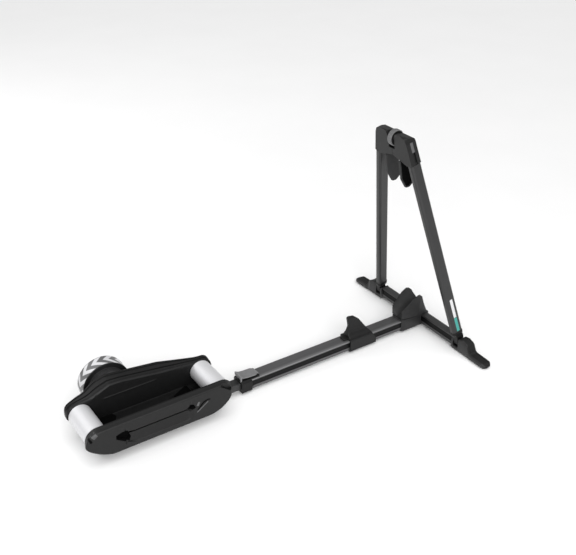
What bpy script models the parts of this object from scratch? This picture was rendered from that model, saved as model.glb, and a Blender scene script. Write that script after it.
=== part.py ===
"""Wheel-on smart trainer: a two-roller base with flywheel and brake, a telescopic
spine with two wheel chocks, and a folding A-frame with a screw clamp for the front tyre.

Frame: +X runs from the rear rollers to the front crossbar, +Y is the flywheel side,
+Z is up, the floor is z = 0.  Lengths below are millimetres and MM turns them to metres.
"""
import math

import bmesh
import bpy
from mathutils import Matrix, Vector

MM = 0.001

# Driving dimensions, mm
ROLLER_X = -664.58         # rear roller axis
ROLLER_BASE = 434.8        # distance between the roller axes
AXIS_Z = 94.0              # height of the roller axes
ROLLER_R = 38.4
ROLLER_HALF = 69.8         # half length of a roller
ROLLER_WALL = 3.4
AXLE_R = 7.5               # roller axles and flywheel shaft
BEARING_R = 14.0
BEARING_W = 7.5
FIT = 0.3                  # gap round a bore, and between faces that meet
SEAT = 0.4                 # gap round the spine tube where a piece seats on it
PLATE = 5.0                # thickness of both side plates
POD_IN = ROLLER_HALF + 1.2         # inner face of both side casings
COVER_IN = POD_IN + PLATE + FIT    # inner edge of both covers
POD_OUT = 100.0            # outer face of the handle-side casing
CASE_OUT = 116.0           # outer face of the belt case at its hump
POD_TOP = 138.0
POD_BOTTOM = 35.0
HANDLE_BAR = 42.0          # depth of the handle bar below the top
HANDLE_THICK = 8.5         # thickness of the handle bar
FLY = (130.0, 109.0)       # flywheel axis, from the rear roller axis and the floor
FLY_R = 83.0
FLY_IN = 147.0             # flywheel rim, inner and outer faces
FLY_OUT = 199.0
RIM = 21.0                 # thickness of the flywheel rim
WEB = 13.0                 # from the outer face to the back of the web
HUB_BACK = WEB + 5.0
STATOR_GAP = 1.6           # air gap between stator and rim
HOUSING_GAP = 4.6          # air gap between stator and brake housing
BRAKE_WALL = 3.0
BRAKE_R = FLY_R - RIM - STATOR_GAP + HOUSING_GAP + BRAKE_WALL
TRAY_BOTTOM = 12.0
TRAY_TOP = 49.0
TRAY_WALL = 3.0
PAN = 3.0                  # thickness of the floor pan
RUBBER_R = 14.0
BOARD_Z = 21.0
CROSS_X = 1356.6           # crossbar axis, from the rear roller axis
BAR_HALF = 14.8            # half thickness of the crossbar
BAR_Z0 = 12.6
BAR_Z1 = 52.9
TUBE_W = 25.6              # half width of the outer spine tube
TUBE_Z0 = 11.0
TUBE_Z1 = 50.0
TUBE_WALL = 2.5            # outer tube, top and bottom
TUBE_SIDE = 4.4            # outer tube, sides
INNER_W = 18.8             # half width of the inner spine tube
INNER_Z0 = 19.5
INNER_Z1 = 45.5
INNER_WALL = 2.5
TUBE_START = 546.6         # rear end of the outer tube
INNER_END = 980.0          # front end of the inner tube
GROOVE = 2.2               # depth of the grooves along the spine
BAR_GROOVE = 1.8
FOOT_IN = 206.0            # inner face of a foot
FOOT_TIP = 382.0
FOOT_HALF = 21.0
FOOT_Z = 5.0               # underside of a foot, above its rubber sole
SLOT_IN = 8.6              # slot for the leg's knuckle, from the foot's inner face
SLOT_OUT = 34.6
KNUCKLE = 22.6             # thickness of the knuckle
KNUCKLE_R = 15.0
PIN_R = 5.0                # hinge pins and clamp spindle
PIVOT_Z = 36.0             # A-frame hinge height
PIVOT_X = -2.1             # hinge axis, from the crossbar axis
LEAN = math.atan(0.2258)   # A-frame leans back
SPLAY = math.atan(0.2026)  # each leg leans in, in the A-frame's own plane
LEG_Y = FOOT_IN + 21.3     # leg centre line at the hinge
LEG_TOP = 705.0            # top end of a leg tube along the A-frame
LEG_A = 21.0               # leg section: half depth, half thickness, corner radius and wall
LEG_B = 13.0
LEG_R = 9.0
LEG_WALL = 2.2
WHEEL_S = LEG_TOP + 75.0   # clamp spindle, along the A-frame
WHEEL_R = 29.0
WHEEL_HALF = 10.0
SPINDLE_HALF = 77.0
BRACKET_HALF = 20.5
PAD_Y = 32.0               # tyre face of a clamp pad
PAD_THICK = 8.0
NECK_HALF = 8.5
TYRE_R = 340.0             # road tyre the cradle is shaped for
PULLEY_R = 25.0
FLY_PULLEY_R = 11.0
IDLER_R = 9.0
PULLEY_Y = (POD_IN + 10.5, POD_IN + 22.0)    # the belt drive's pulleys
BELT_Y = (PULLEY_Y[0] + 0.7, PULLEY_Y[1] - 0.8)
AXLE_END = PULLEY_Y[1] + 1.5
BEARING_Y = (POD_IN + 0.8, POD_IN + 0.8 + BEARING_W)
BEARING_BORE = AXLE_R + FIT
LEVER_PIN_R = 2.5
SHOE_HALF = 6.1            # half length of the clamp shoe
CHOCK_FIT = 0.5            # gap round the spine tube in the sliding chock
SIDES = (("near", -1), ("far", 1))


# Scene and helpers

for old in list(bpy.data.objects):
    bpy.data.objects.remove(old, do_unlink=True)

PARTS = bpy.data.collections.new("wheel_on_smart_trainer")
CUTTERS = bpy.data.collections.new("cutters")
bpy.context.scene.collection.children.link(PARTS)
bpy.context.scene.collection.children.link(CUTTERS)

LOOKS = {
    "casing": ((0.030, 0.031, 0.033), 0.55, 0.0),
    "plate": ((0.020, 0.020, 0.022), 0.50, 0.2),
    "rubber": ((0.012, 0.012, 0.013), 0.85, 0.0),
    "roller": ((0.800, 0.800, 0.810), 0.28, 1.0),
    "steel": ((0.550, 0.560, 0.570), 0.32, 1.0),
    "black_alloy": ((0.055, 0.057, 0.060), 0.42, 0.6),
    "grey_plastic": ((0.200, 0.200, 0.205), 0.50, 0.0),
    "flywheel": ((0.450, 0.450, 0.460), 0.35, 0.9),
    "board": ((0.020, 0.110, 0.060), 0.50, 0.0),
    "copper": ((0.500, 0.260, 0.130), 0.40, 0.8),
    "light": ((0.600, 0.750, 0.850), 0.30, 0.0),
}


def material_for(name, look):
    rgb, rough, metal = LOOKS[look]
    mat = bpy.data.materials.new(name + "_material")
    mat.use_nodes = True
    shader = mat.node_tree.nodes["Principled BSDF"]
    shader.inputs["Base Color"].default_value = (*rgb, 1.0)
    shader.inputs["Roughness"].default_value = rough
    shader.inputs["Metallic"].default_value = metal
    mat.diffuse_color = (*rgb, 1.0)
    return mat


def own(mesh, name, look, matrix=None, parent=None):
    """Link a mesh as a named part, or as a cutter when it has no look."""
    obj = bpy.data.objects.new(name, mesh)
    if look is None:
        CUTTERS.objects.link(obj)
        obj.hide_render = True
        obj.display_type = "WIRE"
    else:
        PARTS.objects.link(obj)
        mesh.materials.clear()
        mesh.materials.append(material_for(name, look))
    if matrix is not None:
        obj.matrix_local = matrix
    if parent is not None:
        obj.parent = parent
    return obj


def empty_at(name, x, y, z, turn=(0.0, 0.0, 0.0)):
    guide = bpy.data.objects.new(name, None)
    PARTS.objects.link(guide)
    guide.location = (x * MM, y * MM, z * MM)
    guide.rotation_euler = turn
    return guide


def mesh_from(bm, name):
    bmesh.ops.recalc_face_normals(bm, faces=bm.faces[:])
    mesh = bpy.data.meshes.new(name)
    bm.to_mesh(mesh)
    bm.free()
    return mesh


def move(x, y, z):
    return Matrix.Translation(Vector((x, y, z)) * MM)


def box(name, xs, ys, zs, look=None, parent=None, matrix=None):
    """A block between two limits on each axis."""
    bm = bmesh.new()
    bmesh.ops.create_cube(bm, size=1.0)
    mid = Vector([(a + b) / 2 for a, b in (xs, ys, zs)]) * MM
    size = [abs(b - a) * MM for a, b in (xs, ys, zs)]
    bmesh.ops.scale(bm, vec=size, verts=bm.verts)
    bmesh.ops.translate(bm, vec=mid, verts=bm.verts)
    return own(mesh_from(bm, name), name, look, matrix, parent)


AXES = {
    "X": Matrix(((0, 0, 1, 0), (1, 0, 0, 0), (0, 1, 0, 0), (0, 0, 0, 1))),
    "Y": Matrix(((1, 0, 0, 0), (0, 0, -1, 0), (0, 1, 0, 0), (0, 0, 0, 1))),
    "Z": Matrix.Identity(4),
}


def fillet(corners, steps=4):
    """Round the corners (u, v, radius) of a closed outline with arcs of equal step count."""
    out = []
    count = len(corners)
    for i, (u, v, radius) in enumerate(corners):
        here = Vector((u, v))
        if radius <= 0:
            out.append((u, v))
            continue
        back = Vector(corners[i - 1][:2]) - here
        ahead = Vector(corners[(i + 1) % count][:2]) - here
        half = back.angle(ahead) / 2
        reach = min(radius / math.tan(half), back.length * 0.49, ahead.length * 0.49)
        real = reach * math.tan(half)
        centre = here + (back.normalized() + ahead.normalized()).normalized() * (real / math.sin(half))
        first = here + back.normalized() * reach - centre
        last = here + ahead.normalized() * reach - centre
        sweep = first.angle_signed(last)
        for k in range(steps + 1):
            turn = -sweep * k / steps
            arm = Matrix.Rotation(turn, 2) @ first
            out.append(tuple(centre + arm))
    return out


def circle(u, v, radius, steps=32):
    turn = 2 * math.pi / steps
    return [(u + radius * math.cos(turn * k), v + radius * math.sin(turn * k)) for k in range(steps)]


def prism(name, outline, axis, lo, hi, look=None, holes=(), parent=None, matrix=None):
    """A flat outline with holes, thickened along one axis, as a mesh."""
    data = bpy.data.curves.new(name + "_outline", "CURVE")
    data.dimensions = "2D"
    data.fill_mode = "BOTH"
    data.extrude = abs(hi - lo) / 2 * MM
    for loop in (outline, *holes):
        spline = data.splines.new("POLY")
        spline.points.add(len(loop) - 1)
        for point, (u, v) in zip(spline.points, loop):
            point.co = (u * MM, v * MM, 0.0, 1.0)
        spline.use_cyclic_u = True
    guide = bpy.data.objects.new(name + "_outline", data)
    CUTTERS.objects.link(guide)
    bpy.context.view_layer.update()
    seen = guide.evaluated_get(bpy.context.evaluated_depsgraph_get())
    mesh = bpy.data.meshes.new_from_object(seen)
    bpy.data.objects.remove(guide, do_unlink=True)
    bm = bmesh.new()
    bm.from_mesh(mesh)
    bpy.data.meshes.remove(mesh)
    bmesh.ops.remove_doubles(bm, verts=bm.verts, dist=1e-6)
    middle = (lo + hi) / 2
    shift = {"X": (middle, 0, 0), "Y": (0, middle, 0), "Z": (0, 0, middle)}[axis]
    bm.transform(move(*shift) @ AXES[axis])
    return own(mesh_from(bm, name), name, look, matrix, parent)


def loft(name, rings, look=None, parent=None):
    """A closed skin through rings of equal point count, with flat ends."""
    bm = bmesh.new()
    rows = [[bm.verts.new(Vector(point) * MM) for point in ring] for ring in rings]
    for low, high in zip(rows, rows[1:]):
        count = len(low)
        for k in range(count):
            n = (k + 1) % count
            bm.faces.new((low[k], low[n], high[n], high[k]))
    bm.faces.new(rows[0])
    bm.faces.new(rows[-1])
    return own(mesh_from(bm, name), name, look, None, parent)


def turned(name, profile, centre, look=None, steps=40, parent=None):
    """A profile of (radius, station) points turned about an axis along Y through centre."""
    area = sum(a[0] * b[1] - b[0] * a[1] for a, b in zip(profile, profile[1:] + profile[:1]))
    line = profile if area < 0 else profile[::-1]
    closed = min(r for r, _ in line) > 0
    bm = bmesh.new()
    verts = [bm.verts.new((r * MM, 0.0, s * MM)) for r, s in line]
    for a, b in zip(verts, verts[1:]):
        bm.edges.new((a, b))
    if closed:
        bm.edges.new((verts[-1], verts[0]))
    mesh = bpy.data.meshes.new(name)
    bm.to_mesh(mesh)
    bm.free()
    x, y, z = centre
    turn = Matrix.Rotation(-math.pi / 2, 4, "X")
    obj = own(mesh, name, look, move(x, y, z) @ turn, parent)
    screw = obj.modifiers.new("turn", "SCREW")
    screw.axis = "Z"
    screw.steps = steps
    screw.render_steps = steps
    screw.use_merge_vertices = True
    screw.merge_threshold = 1e-5
    return obj


def ring_profile(inner, outer, lo, hi, round_by=0.0):
    """Rectangle section of a bush or washer; the outer corners may be broken."""
    if round_by <= 0:
        return [(inner, hi), (outer, hi), (outer, lo), (inner, lo)]
    b = round_by
    return [(inner, hi), (outer - b, hi), (outer, hi - b), (outer, lo + b), (outer - b, lo), (inner, lo)]


def rod_profile(radius, lo, hi, round_by=0.8):
    b = round_by
    return [(0, hi), (radius - b, hi), (radius, hi - b), (radius, lo + b), (radius - b, lo), (0, lo)]


def rod(name, radius, lo, hi, x, z, look=None, steps=24, parent=None):
    return turned(name, rod_profile(radius, lo, hi), (x, 0, z), look, steps, parent)


def boolean(obj, other, kind):
    mod = obj.modifiers.new(kind.lower() + "_" + other.name, "BOOLEAN")
    mod.operation = kind
    mod.solver = "EXACT"
    mod.object = other
    return obj


def cut(obj, *others):
    for other in others:
        boolean(obj, other, "DIFFERENCE")
    return obj


def join(obj, *others):
    for other in others:
        boolean(obj, other, "UNION")
    return obj


def bevel(obj, width, segments=2, angle=40.0):
    """Break the edges; flat faces are merged first so that the new edges run evenly."""
    bm = bmesh.new()
    bm.from_mesh(obj.data)
    bmesh.ops.dissolve_limit(bm, angle_limit=0.0005, verts=bm.verts, edges=bm.edges)
    bm.to_mesh(obj.data)
    bm.free()
    mod = obj.modifiers.new("edges", "BEVEL")
    mod.width = width * MM
    mod.segments = segments
    mod.limit_method = "ANGLE"
    mod.angle_limit = math.radians(angle)
    return obj


def shifted(outline, du, dv=0.0):
    return [(u + du, v + dv) for u, v in outline]


def inset(outline, depth):
    """Move each point of a clockwise outline inward along its corner's normal."""
    out = []
    count = len(outline)
    for i, point in enumerate(outline):
        step = Vector(outline[(i + 1) % count]) - Vector(outline[i - 1])
        normal = Vector((step.y, -step.x)).normalized()
        out.append(tuple(Vector(point) + normal * depth))
    return out


def rect(u, v0, v1, radius):
    """Rounded rectangle, u either side of the middle."""
    return fillet([(-u, v0, radius), (-u, v1, radius), (u, v1, radius), (u, v0, radius)], 3)


RX = ROLLER_X                    # rear roller axis
FX = ROLLER_X + ROLLER_BASE      # front roller axis
CX = ROLLER_X + CROSS_X          # crossbar axis
WX = ROLLER_X + FLY[0]           # flywheel axis
WZ = FLY[1]
SX = ROLLER_X + TUBE_START       # rear end of the outer tube
APEX_Y = LEG_Y - math.tan(SPLAY) * LEG_TOP   # leg centre line at its top
HOUSING_IN = CASE_OUT + 0.4      # brake housing's face on the belt case


# Moving frames: one empty on each joint's axis

rear_axis = empty_at("rear_roller_axis", RX, 0, AXIS_Z)
front_axis = empty_at("front_roller_axis", FX, 0, AXIS_Z)
fly_axis = empty_at("flywheel_axis", WX, 0, WZ)
spine_slide = empty_at("spine_slide_axis", CX, 0, 32)
chock_slide = empty_at("small_chock_slide_axis", CX, 0, 32)
LEVER = (SX + 65.9, TUBE_Z1 + 6.5)
lever_axis = empty_at("lever_axis", LEVER[0], 0, LEVER[1])
frame_axis = empty_at("a_frame_axis", CX + PIVOT_X, 0, PIVOT_Z, (0.0, -LEAN, 0.0))
bpy.context.view_layer.update()


def ride(obj, guide):
    """Parent a part made in the object's own frame to an empty without moving it."""
    obj.parent = guide
    obj.matrix_parent_inverse = guide.matrix_world.inverted()
    return obj


# Side casings

def pod_ring(y, trim=0.0, n=7):
    """Outline of the handle-side casing at one station: longer at the back outside, at the front inside."""
    t = max(0.0, (abs(y) - POD_IN) / (POD_OUT - POD_IN))
    rear = 42.0 + 9.0 * t - trim
    front = 43.0 - 16.0 * t - trim
    up = POD_TOP - AXIS_Z - trim
    down = AXIS_Z - POD_BOTTOM - trim
    quarters = (
        (RX + 5 * t, rear + 5 * t, up, 180, 1.0),
        (FX - 15 * t, front + 15 * t, up, 90, 1.0),
        (FX - 60.8, 60.8 + front, down, 0, 1.1),
        (RX + 40, rear + 40, down, -90, 1.45),
    )
    points = []
    for cx, a, b, start, power in quarters:
        for k in range(n + 1):
            angle = math.radians(start - 90.0 * k / n)
            u, v = math.cos(angle), math.sin(angle)
            points.append((cx + a * math.copysign(abs(u) ** power, u), y,
                           AXIS_Z + b * math.copysign(abs(v) ** power, v)))
    return points


HUMP = WZ + 56.0                 # top of the space over the flywheel's axis
CASE_IN = ((RX - 43, POD_BOTTOM + 2.5, 40), (RX - 43, POD_TOP - 10, 30), (WX - 90, POD_TOP - 3, 40),
           (WX - 22, HUMP - 1, 20), (WX + 20, HUMP - 2, 20), (WX + 160, POD_TOP + 3, 60),
           (FX - 9.8, POD_TOP - 10, 25), (FX + 45.2, POD_TOP - 10, 40), (FX + 45.2, POD_BOTTOM + 2.5, 42))
CASE_OFF = ((RX - 40, POD_BOTTOM + 5.5, 40), (RX - 40, POD_TOP - 10, 32), (WX - 70, POD_TOP + 25, 90),
            (WX - 20, HUMP + 15, 24), (WX + 22, HUMP + 11, 24), (WX + 170, POD_TOP + 19, 60),
            (FX - 1.8, POD_TOP + 1, 25), (FX + 44.2, POD_TOP - 3, 43), (FX + 44.2, POD_BOTTOM + 5.5, 42))


def case_outline(t, trim=0.0, steps=4):
    """Outline of the belt case between its inner (t=0) and outer (t=1) faces."""
    corners = []
    for (u0, v0, r0), (u1, v1, r1) in zip(CASE_IN, CASE_OFF):
        corners.append((u0 + (u1 - u0) * t, v0 + (v1 - v0) * t, r0 + (r1 - r0) * t))
    line = fillet(corners, steps)
    return inset(line, trim) if trim else line


def case_ring(y, trim=0.0):
    t = (y - POD_IN) / (CASE_OUT - POD_IN)
    return [(u, y, v) for u, v in case_outline(t, trim)]


near_plate = loft("near_side_plate", [pod_ring(-POD_IN), pod_ring(-POD_IN - PLATE)], "plate")
near_cover = loft("near_casing_cover", [pod_ring(-COVER_IN), pod_ring(14.0 - POD_OUT), pod_ring(5.0 - POD_OUT),
                                        pod_ring(1.4 - POD_OUT, 1.6), pod_ring(-POD_OUT, 5.0)], "casing")
for index, x in enumerate((RX, FX)):
    cut(near_plate, prism("near_bore_%d" % index, circle(x, AXIS_Z, BEARING_R + FIT), "Y",
                          -POD_IN - 9, 3 - POD_IN))
    cut(near_cover, prism("near_pocket_%d" % index, circle(x, AXIS_Z, PULLEY_R + 5), "Y", 8 - POD_OUT, -70))

# Carry handle: a rounded bar with a sloping recess below it that hooks up behind the bar
BAR_BACK = HANDLE_THICK - POD_OUT
BAR_LOW = POD_TOP - HANDLE_BAR
hook = fillet([(-POD_OUT - 4, BAR_LOW, 0), (BAR_BACK, BAR_LOW, 2), (BAR_BACK, BAR_LOW + 20, 2),
               (BAR_BACK + 8.5, BAR_LOW + 20, 3), (BAR_BACK + 8.5, BAR_LOW - 11, 2), (BAR_BACK + 1.5, BAR_LOW - 11, 1),
               (3 - POD_OUT, POD_BOTTOM + 17, 2), (-POD_OUT - 4, POD_BOTTOM + 17, 0)], 3)
handle_cut = prism("handle_recess", hook, "X", RX + 54, FX - 112.8)
notch_rear = box("recess_end_rear", (RX + 50, RX + 96), (-POD_OUT - 4, 18 - POD_OUT),
                 (BAR_LOW - 22, BAR_LOW + 7))
notch_front = box("recess_end_front", (FX - 134.8, FX - 106.8), (-POD_OUT - 4, 16 - POD_OUT),
                  (BAR_LOW - 4, BAR_LOW + 9))
cut(near_cover, handle_cut, notch_rear, notch_front)

# Notches for the roller blocks at both ends of the handle-side casing
slot_y = (-POD_OUT - 3, 14 - POD_OUT)
slot_rear = box("block_slot_rear", (RX - 40, RX - 20), slot_y, (POD_TOP - 26, POD_TOP - 6))
slot_front = box("block_slot_front", (FX + 4, FX + 24), slot_y, (POD_TOP - 24, POD_TOP - 6))
cut(near_cover, slot_rear, slot_front)

far_plate = loft("far_side_plate", [case_ring(POD_IN, 3.0), case_ring(POD_IN + 3.0), case_ring(POD_IN + PLATE)],
                 "plate")
belt_case = loft("belt_case_cover", [case_ring(COVER_IN), case_ring(CASE_OUT - 20.0), case_ring(CASE_OUT - 5.0),
                                     case_ring(CASE_OUT - 1.4, 1.6), case_ring(CASE_OUT, 5.0)], "casing")
for index, x in enumerate((RX, FX)):
    cut(far_plate, prism("far_bore_%d" % index, circle(x, AXIS_Z, BEARING_R + FIT), "Y",
                         POD_IN - 3, POD_IN + 9))
boss = prism("flywheel_boss", circle(WX, WZ, BEARING_R + 5), "Y", POD_IN + 3, POD_IN + 8.6)
join(far_plate, boss)
cut(far_plate, prism("flywheel_bore_inner", circle(WX, WZ, BEARING_R + FIT), "Y", POD_IN + 1.6, POD_IN + 19))
cavity = prism("belt_cavity", case_outline(0.2, 5.5), "Y", POD_IN - 1, AXLE_END + 1.5)
dome = fillet([(WX - 64, POD_BOTTOM + 25, 8), (WX - 64, POD_TOP + 2, 8), (WX - 18, HUMP - 10, 8),
               (WX + 46, HUMP - 8, 8), (WX + 162, POD_TOP + 2, 8), (WX + 162, POD_BOTTOM + 25, 8)], 3)
cavity_hump = prism("hump_cavity", dome, "Y", AXLE_END - 4.5, CASE_OUT - 4)
cut(belt_case, cavity, cavity_hump)
END_Y = AXLE_END + 4.5           # outer face of the belt case at its two ends
rear_wedge = [(RX - 70, END_Y), (RX + 18, END_Y), (RX + 72, CASE_OUT + 1.5), (RX + 72, CASE_OUT + 14),
              (RX - 70, CASE_OUT + 14)]
front_wedge = [(FX - 134.8, CASE_OUT + 1.5), (FX - 4.8, END_Y + 1), (FX + 65.2, END_Y),
               (FX + 65.2, CASE_OUT + 14), (FX - 134.8, CASE_OUT + 14)]
cut(belt_case, prism("rear_wedge", rear_wedge, "Z", 0, 200), prism("front_wedge", front_wedge, "Z", 0, 200))
cut(belt_case, prism("shaft_opening", circle(WX, WZ, AXLE_R + 2.5), "Y", CASE_OUT - 8, CASE_OUT + 4))
INLET = (WX + 132.0, AXIS_Z - 10.0)
INLET_R = 6.0
LIGHT_X = (WX + 107.0, WX + 119.0)
LIGHT_Z = (AXIS_Z - 12.0, AXIS_Z - 8.0)
cut(belt_case, prism("inlet_opening", circle(*INLET, INLET_R + SEAT, 24), "Y", CASE_OUT - 8, CASE_OUT + 4))
cut(belt_case, box("light_opening", (LIGHT_X[0] - SEAT, LIGHT_X[1] + SEAT), (CASE_OUT - 8, CASE_OUT + 4),
                   (LIGHT_Z[0] - SEAT, LIGHT_Z[1] + SEAT)))

# Base tray, floor pan and feet

TRAY_END = ROLLER_BASE + 15.2
TRAY_W = POD_IN - 0.5
tray_bottom = rect(TRAY_W - 22.5, 2, TRAY_END - 4, 12)
tray_top = rect(TRAY_W, 0, TRAY_END, 14)
rings = []
for outline, z in ((tray_bottom, TRAY_BOTTOM), (tray_top, TRAY_TOP)):
    rings.append([(RX + v, u, z) for u, v in outline])
tray = loft("base_chassis", rings, "plate")
hollow_rings = []
for outline, z in ((rect(TRAY_W - 24, 5.5, TRAY_END - 7.5, 10), TRAY_BOTTOM + TRAY_WALL),
                   (rect(TRAY_W - 1.9, 3.5, TRAY_END - 3.5, 12), TRAY_TOP + 2.5)):
    hollow_rings.append([(RX + v, u, z) for u, v in outline])
cut(tray, loft("tray_hollow", hollow_rings))
RIB_X = FX - 128.8               # rear rib, which the inner tube butts against
for index, x in enumerate((RIB_X, RIB_X + 86)):
    join(tray, box("tray_rib_%d" % index, (x, x + 5), (20.5 - TRAY_W, TRAY_W - 20.5),
                   (TRAY_BOTTOM + 2, TRAY_TOP - 3)))
cut(tray, box("tube_passage", (RIB_X - 8, RX + TRAY_END + 20), (-INNER_W - FIT, INNER_W + FIT),
              (INNER_Z0 - FIT, TRAY_TOP + 11)))

pan = box("floor_pan", (RX + ROLLER_R + 15.6, FX - ROLLER_R - 15.4), (0.4 - POD_IN, POD_IN - 0.4),
          (TRAY_TOP + SEAT, TRAY_TOP + SEAT + PAN), "casing")
bevel(pan, 0.8, 1)

for end, x in (("rear", RX + 30), ("front", FX - 14.8)):
    for side, s in SIDES:
        prism("%s_%s_rubber_foot" % (end, side), circle(0, 0, RUBBER_R, 20), "Z", 0, TRAY_BOTTOM - FIT,
              "rubber", matrix=move(x, s * 32, 0))

board = box("circuit_board", (RX + 60, RX + 190), (-36, 36), (BOARD_Z, BOARD_Z + 1.6), "board")
for index, (x, y) in enumerate(((66, -30), (66, 30), (184, -30), (184, 30))):
    join(board, prism("standoff_%d" % index, circle(RX + x, y, 3, 12), "Z",
                      TRAY_BOTTOM + TRAY_WALL + FIT, BOARD_Z + 0.5))
join(board, box("driver_block", (RX + 80, RX + 112), (-20, 4), (BOARD_Z + 1, BOARD_Z + 13)))
join(board, box("radio_block", (RX + 140, RX + 160), (8, 26), (BOARD_Z + 1, BOARD_Z + 5)))


# Rollers, axles, bearings and the belt drive

def roller(name, axle_name, pulley_name, guide):
    bore, end, edge, skin = BEARING_BORE, ROLLER_HALF, 1.5, ROLLER_R - ROLLER_WALL
    drum = [(bore, end), (ROLLER_R - edge, end), (ROLLER_R, end - edge), (ROLLER_R, edge - end),
            (ROLLER_R - edge, -end), (bore, -end), (bore, 7.8 - end), (skin, 7.8 - end), (skin, end - 7.8),
            (bore, end - 7.8)]
    turned(name, drum, (0, 0, 0), "roller", 40, guide)
    turned(axle_name, rod_profile(AXLE_R, -POD_IN - 11, AXLE_END), (0, 0, 0), "steel", 20, guide)
    turned(pulley_name, ring_profile(BEARING_BORE, PULLEY_R, *PULLEY_Y), (0, 0, 0), "black_alloy", 28, guide)


roller("rear_roller", "rear_axle", "rear_pulley", rear_axis)
roller("front_roller", "front_axle", "front_pulley", front_axis)
for end, x in (("rear", RX), ("front", FX)):
    for side, s in SIDES:
        lo, hi = sorted((s * BEARING_Y[0], s * BEARING_Y[1]))
        turned("%s_%s_bearing" % (end, side), ring_profile(BEARING_BORE, BEARING_R, lo, hi),
               (x, 0, AXIS_Z), "steel", 20)


def belt_line(wheels, steps=16):
    """Closed line hugging each wheel (x, z, radius, side); side -1 runs on the belt's back."""
    count = len(wheels)
    normals = []
    for i in range(count):
        x0, z0, r0, s0 = wheels[i]
        x1, z1, r1, s1 = wheels[(i + 1) % count]
        gap = Vector((x1 - x0, z1 - z0))
        heading = math.atan2(gap.y, gap.x)
        normals.append(heading - math.acos((s1 * r1 - s0 * r0) / gap.length))
    line = []
    for i in range(count):
        x, z, r, s = wheels[i]
        start, stop = normals[i - 1], normals[i]
        if s > 0:
            while stop > start:
                stop -= 2 * math.pi
        else:
            while stop < start:
                stop += 2 * math.pi
        for k in range(steps + 1):
            a = start + (stop - start) * k / steps
            line.append((x - s * r * math.cos(a), z - s * r * math.sin(a)))
    return line


IDLER = (WX + 24.0, WZ - 14.0)
BELT_HALF = 1.0                  # half the belt's thickness
IDLER_PIN_R = 4.0


def belt_side(shift):
    reach = BELT_HALF + FIT
    return belt_line([
        (RX, AXIS_Z, PULLEY_R + reach + shift, 1),
        (WX, WZ, FLY_PULLEY_R + reach + shift, 1),
        (IDLER[0], IDLER[1], IDLER_R + reach - shift, -1),
        (FX, AXIS_Z, PULLEY_R + reach + shift, 1),
    ])


prism("drive_belt", belt_side(BELT_HALF), "Y", *BELT_Y, "rubber", holes=(belt_side(-BELT_HALF),))
idler_axis = empty_at("idler_axis", IDLER[0], 0, IDLER[1])
turned("idler_pulley", ring_profile(IDLER_PIN_R + FIT, IDLER_R, *PULLEY_Y, 0.8), (0, 0, 0), "steel", 24,
       idler_axis)
rod("idler_pin", IDLER_PIN_R, COVER_IN, AXLE_END, IDLER[0], IDLER[1], "steel", 20)

# Flywheel, shaft and the brake that stands inside its rim
rim_in = FLY_R - RIM
rim = [(rim_in, FLY_IN), (FLY_R - 2.5, FLY_IN), (FLY_R, FLY_IN + 2.5), (FLY_R, FLY_OUT - 2.5),
       (FLY_R - 2.5, FLY_OUT), (rim_in - 2, FLY_OUT), (rim_in - 6, FLY_OUT - 3), (24, FLY_OUT - 3),
       (22, FLY_OUT), (BEARING_BORE, FLY_OUT), (BEARING_BORE, FLY_OUT - HUB_BACK), (20, FLY_OUT - HUB_BACK),
       (20, FLY_OUT - WEB), (rim_in, FLY_OUT - WEB)]
turned("flywheel", rim, (0, 0, 0), "flywheel", 48, fly_axis)
turned("flywheel_shaft", rod_profile(AXLE_R, POD_IN + 2.2, FLY_OUT + 8), (0, 0, 0), "steel", 24, fly_axis)
turned("flywheel_pulley", ring_profile(BEARING_BORE, FLY_PULLEY_R, *PULLEY_Y, 0.6), (0, 0, 0), "black_alloy",
       24, fly_axis)
nut = prism("flywheel_nut", circle(0, 0, 13, 6), "Y", FLY_OUT + SEAT, FLY_OUT + 7, "steel",
            holes=(circle(0, 0, BEARING_BORE, 20),), parent=fly_axis)
turned("flywheel_inner_bearing", ring_profile(BEARING_BORE, BEARING_R, POD_IN + 1.9, POD_IN + 8.4),
       (WX, 0, WZ), "steel", 20)
turned("flywheel_outer_bearing", ring_profile(BEARING_BORE, BEARING_R, HOUSING_IN + 6, HOUSING_IN + 13.6),
       (WX, 0, WZ), "steel", 20)

HOUSING_FLOOR = HOUSING_IN + 5.0
HOUSING_RIM = FLY_IN - 0.8
cup = BEARING_R + 5.5
shell = [(10, HOUSING_IN), (BRAKE_R - 2, HOUSING_IN), (BRAKE_R, HOUSING_IN + 2), (BRAKE_R, HOUSING_RIM),
         (BRAKE_R - BRAKE_WALL, HOUSING_RIM), (BRAKE_R - BRAKE_WALL, HOUSING_FLOOR), (cup, HOUSING_FLOOR),
         (cup, HOUSING_IN + 15.6), (BEARING_R + FIT, HOUSING_IN + 15.6),
         (BEARING_R + FIT, HOUSING_FLOOR + 0.4), (10, HOUSING_FLOOR + 0.4)]
turned("brake_housing", shell, (WX, 0, WZ), "casing", 36)
STATOR_R = rim_in - STATOR_GAP
teeth = []
for k in range(8):
    for a, r in ((-0.30, STATOR_R), (0.0, STATOR_R), (0.30, STATOR_R), (0.40, STATOR_R - 16.4)):
        teeth.append((WX + r * math.cos(math.pi / 4 * k + a), WZ + r * math.sin(math.pi / 4 * k + a)))
prism("brake_stator", teeth[::-1], "Y", HOUSING_FLOOR + 11, FLY_OUT - HUB_BACK - 3, "copper",
      holes=(circle(WX, WZ, 12, 28),))
join(bpy.data.objects["brake_stator"], prism("stator_foot", circle(WX, WZ, STATOR_R - 20.4, 32), "Y",
                                             HOUSING_FLOOR + SEAT, HOUSING_FLOOR + 12.6,
                                             holes=(circle(WX, WZ, cup + 0.5, 28),)))

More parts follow.
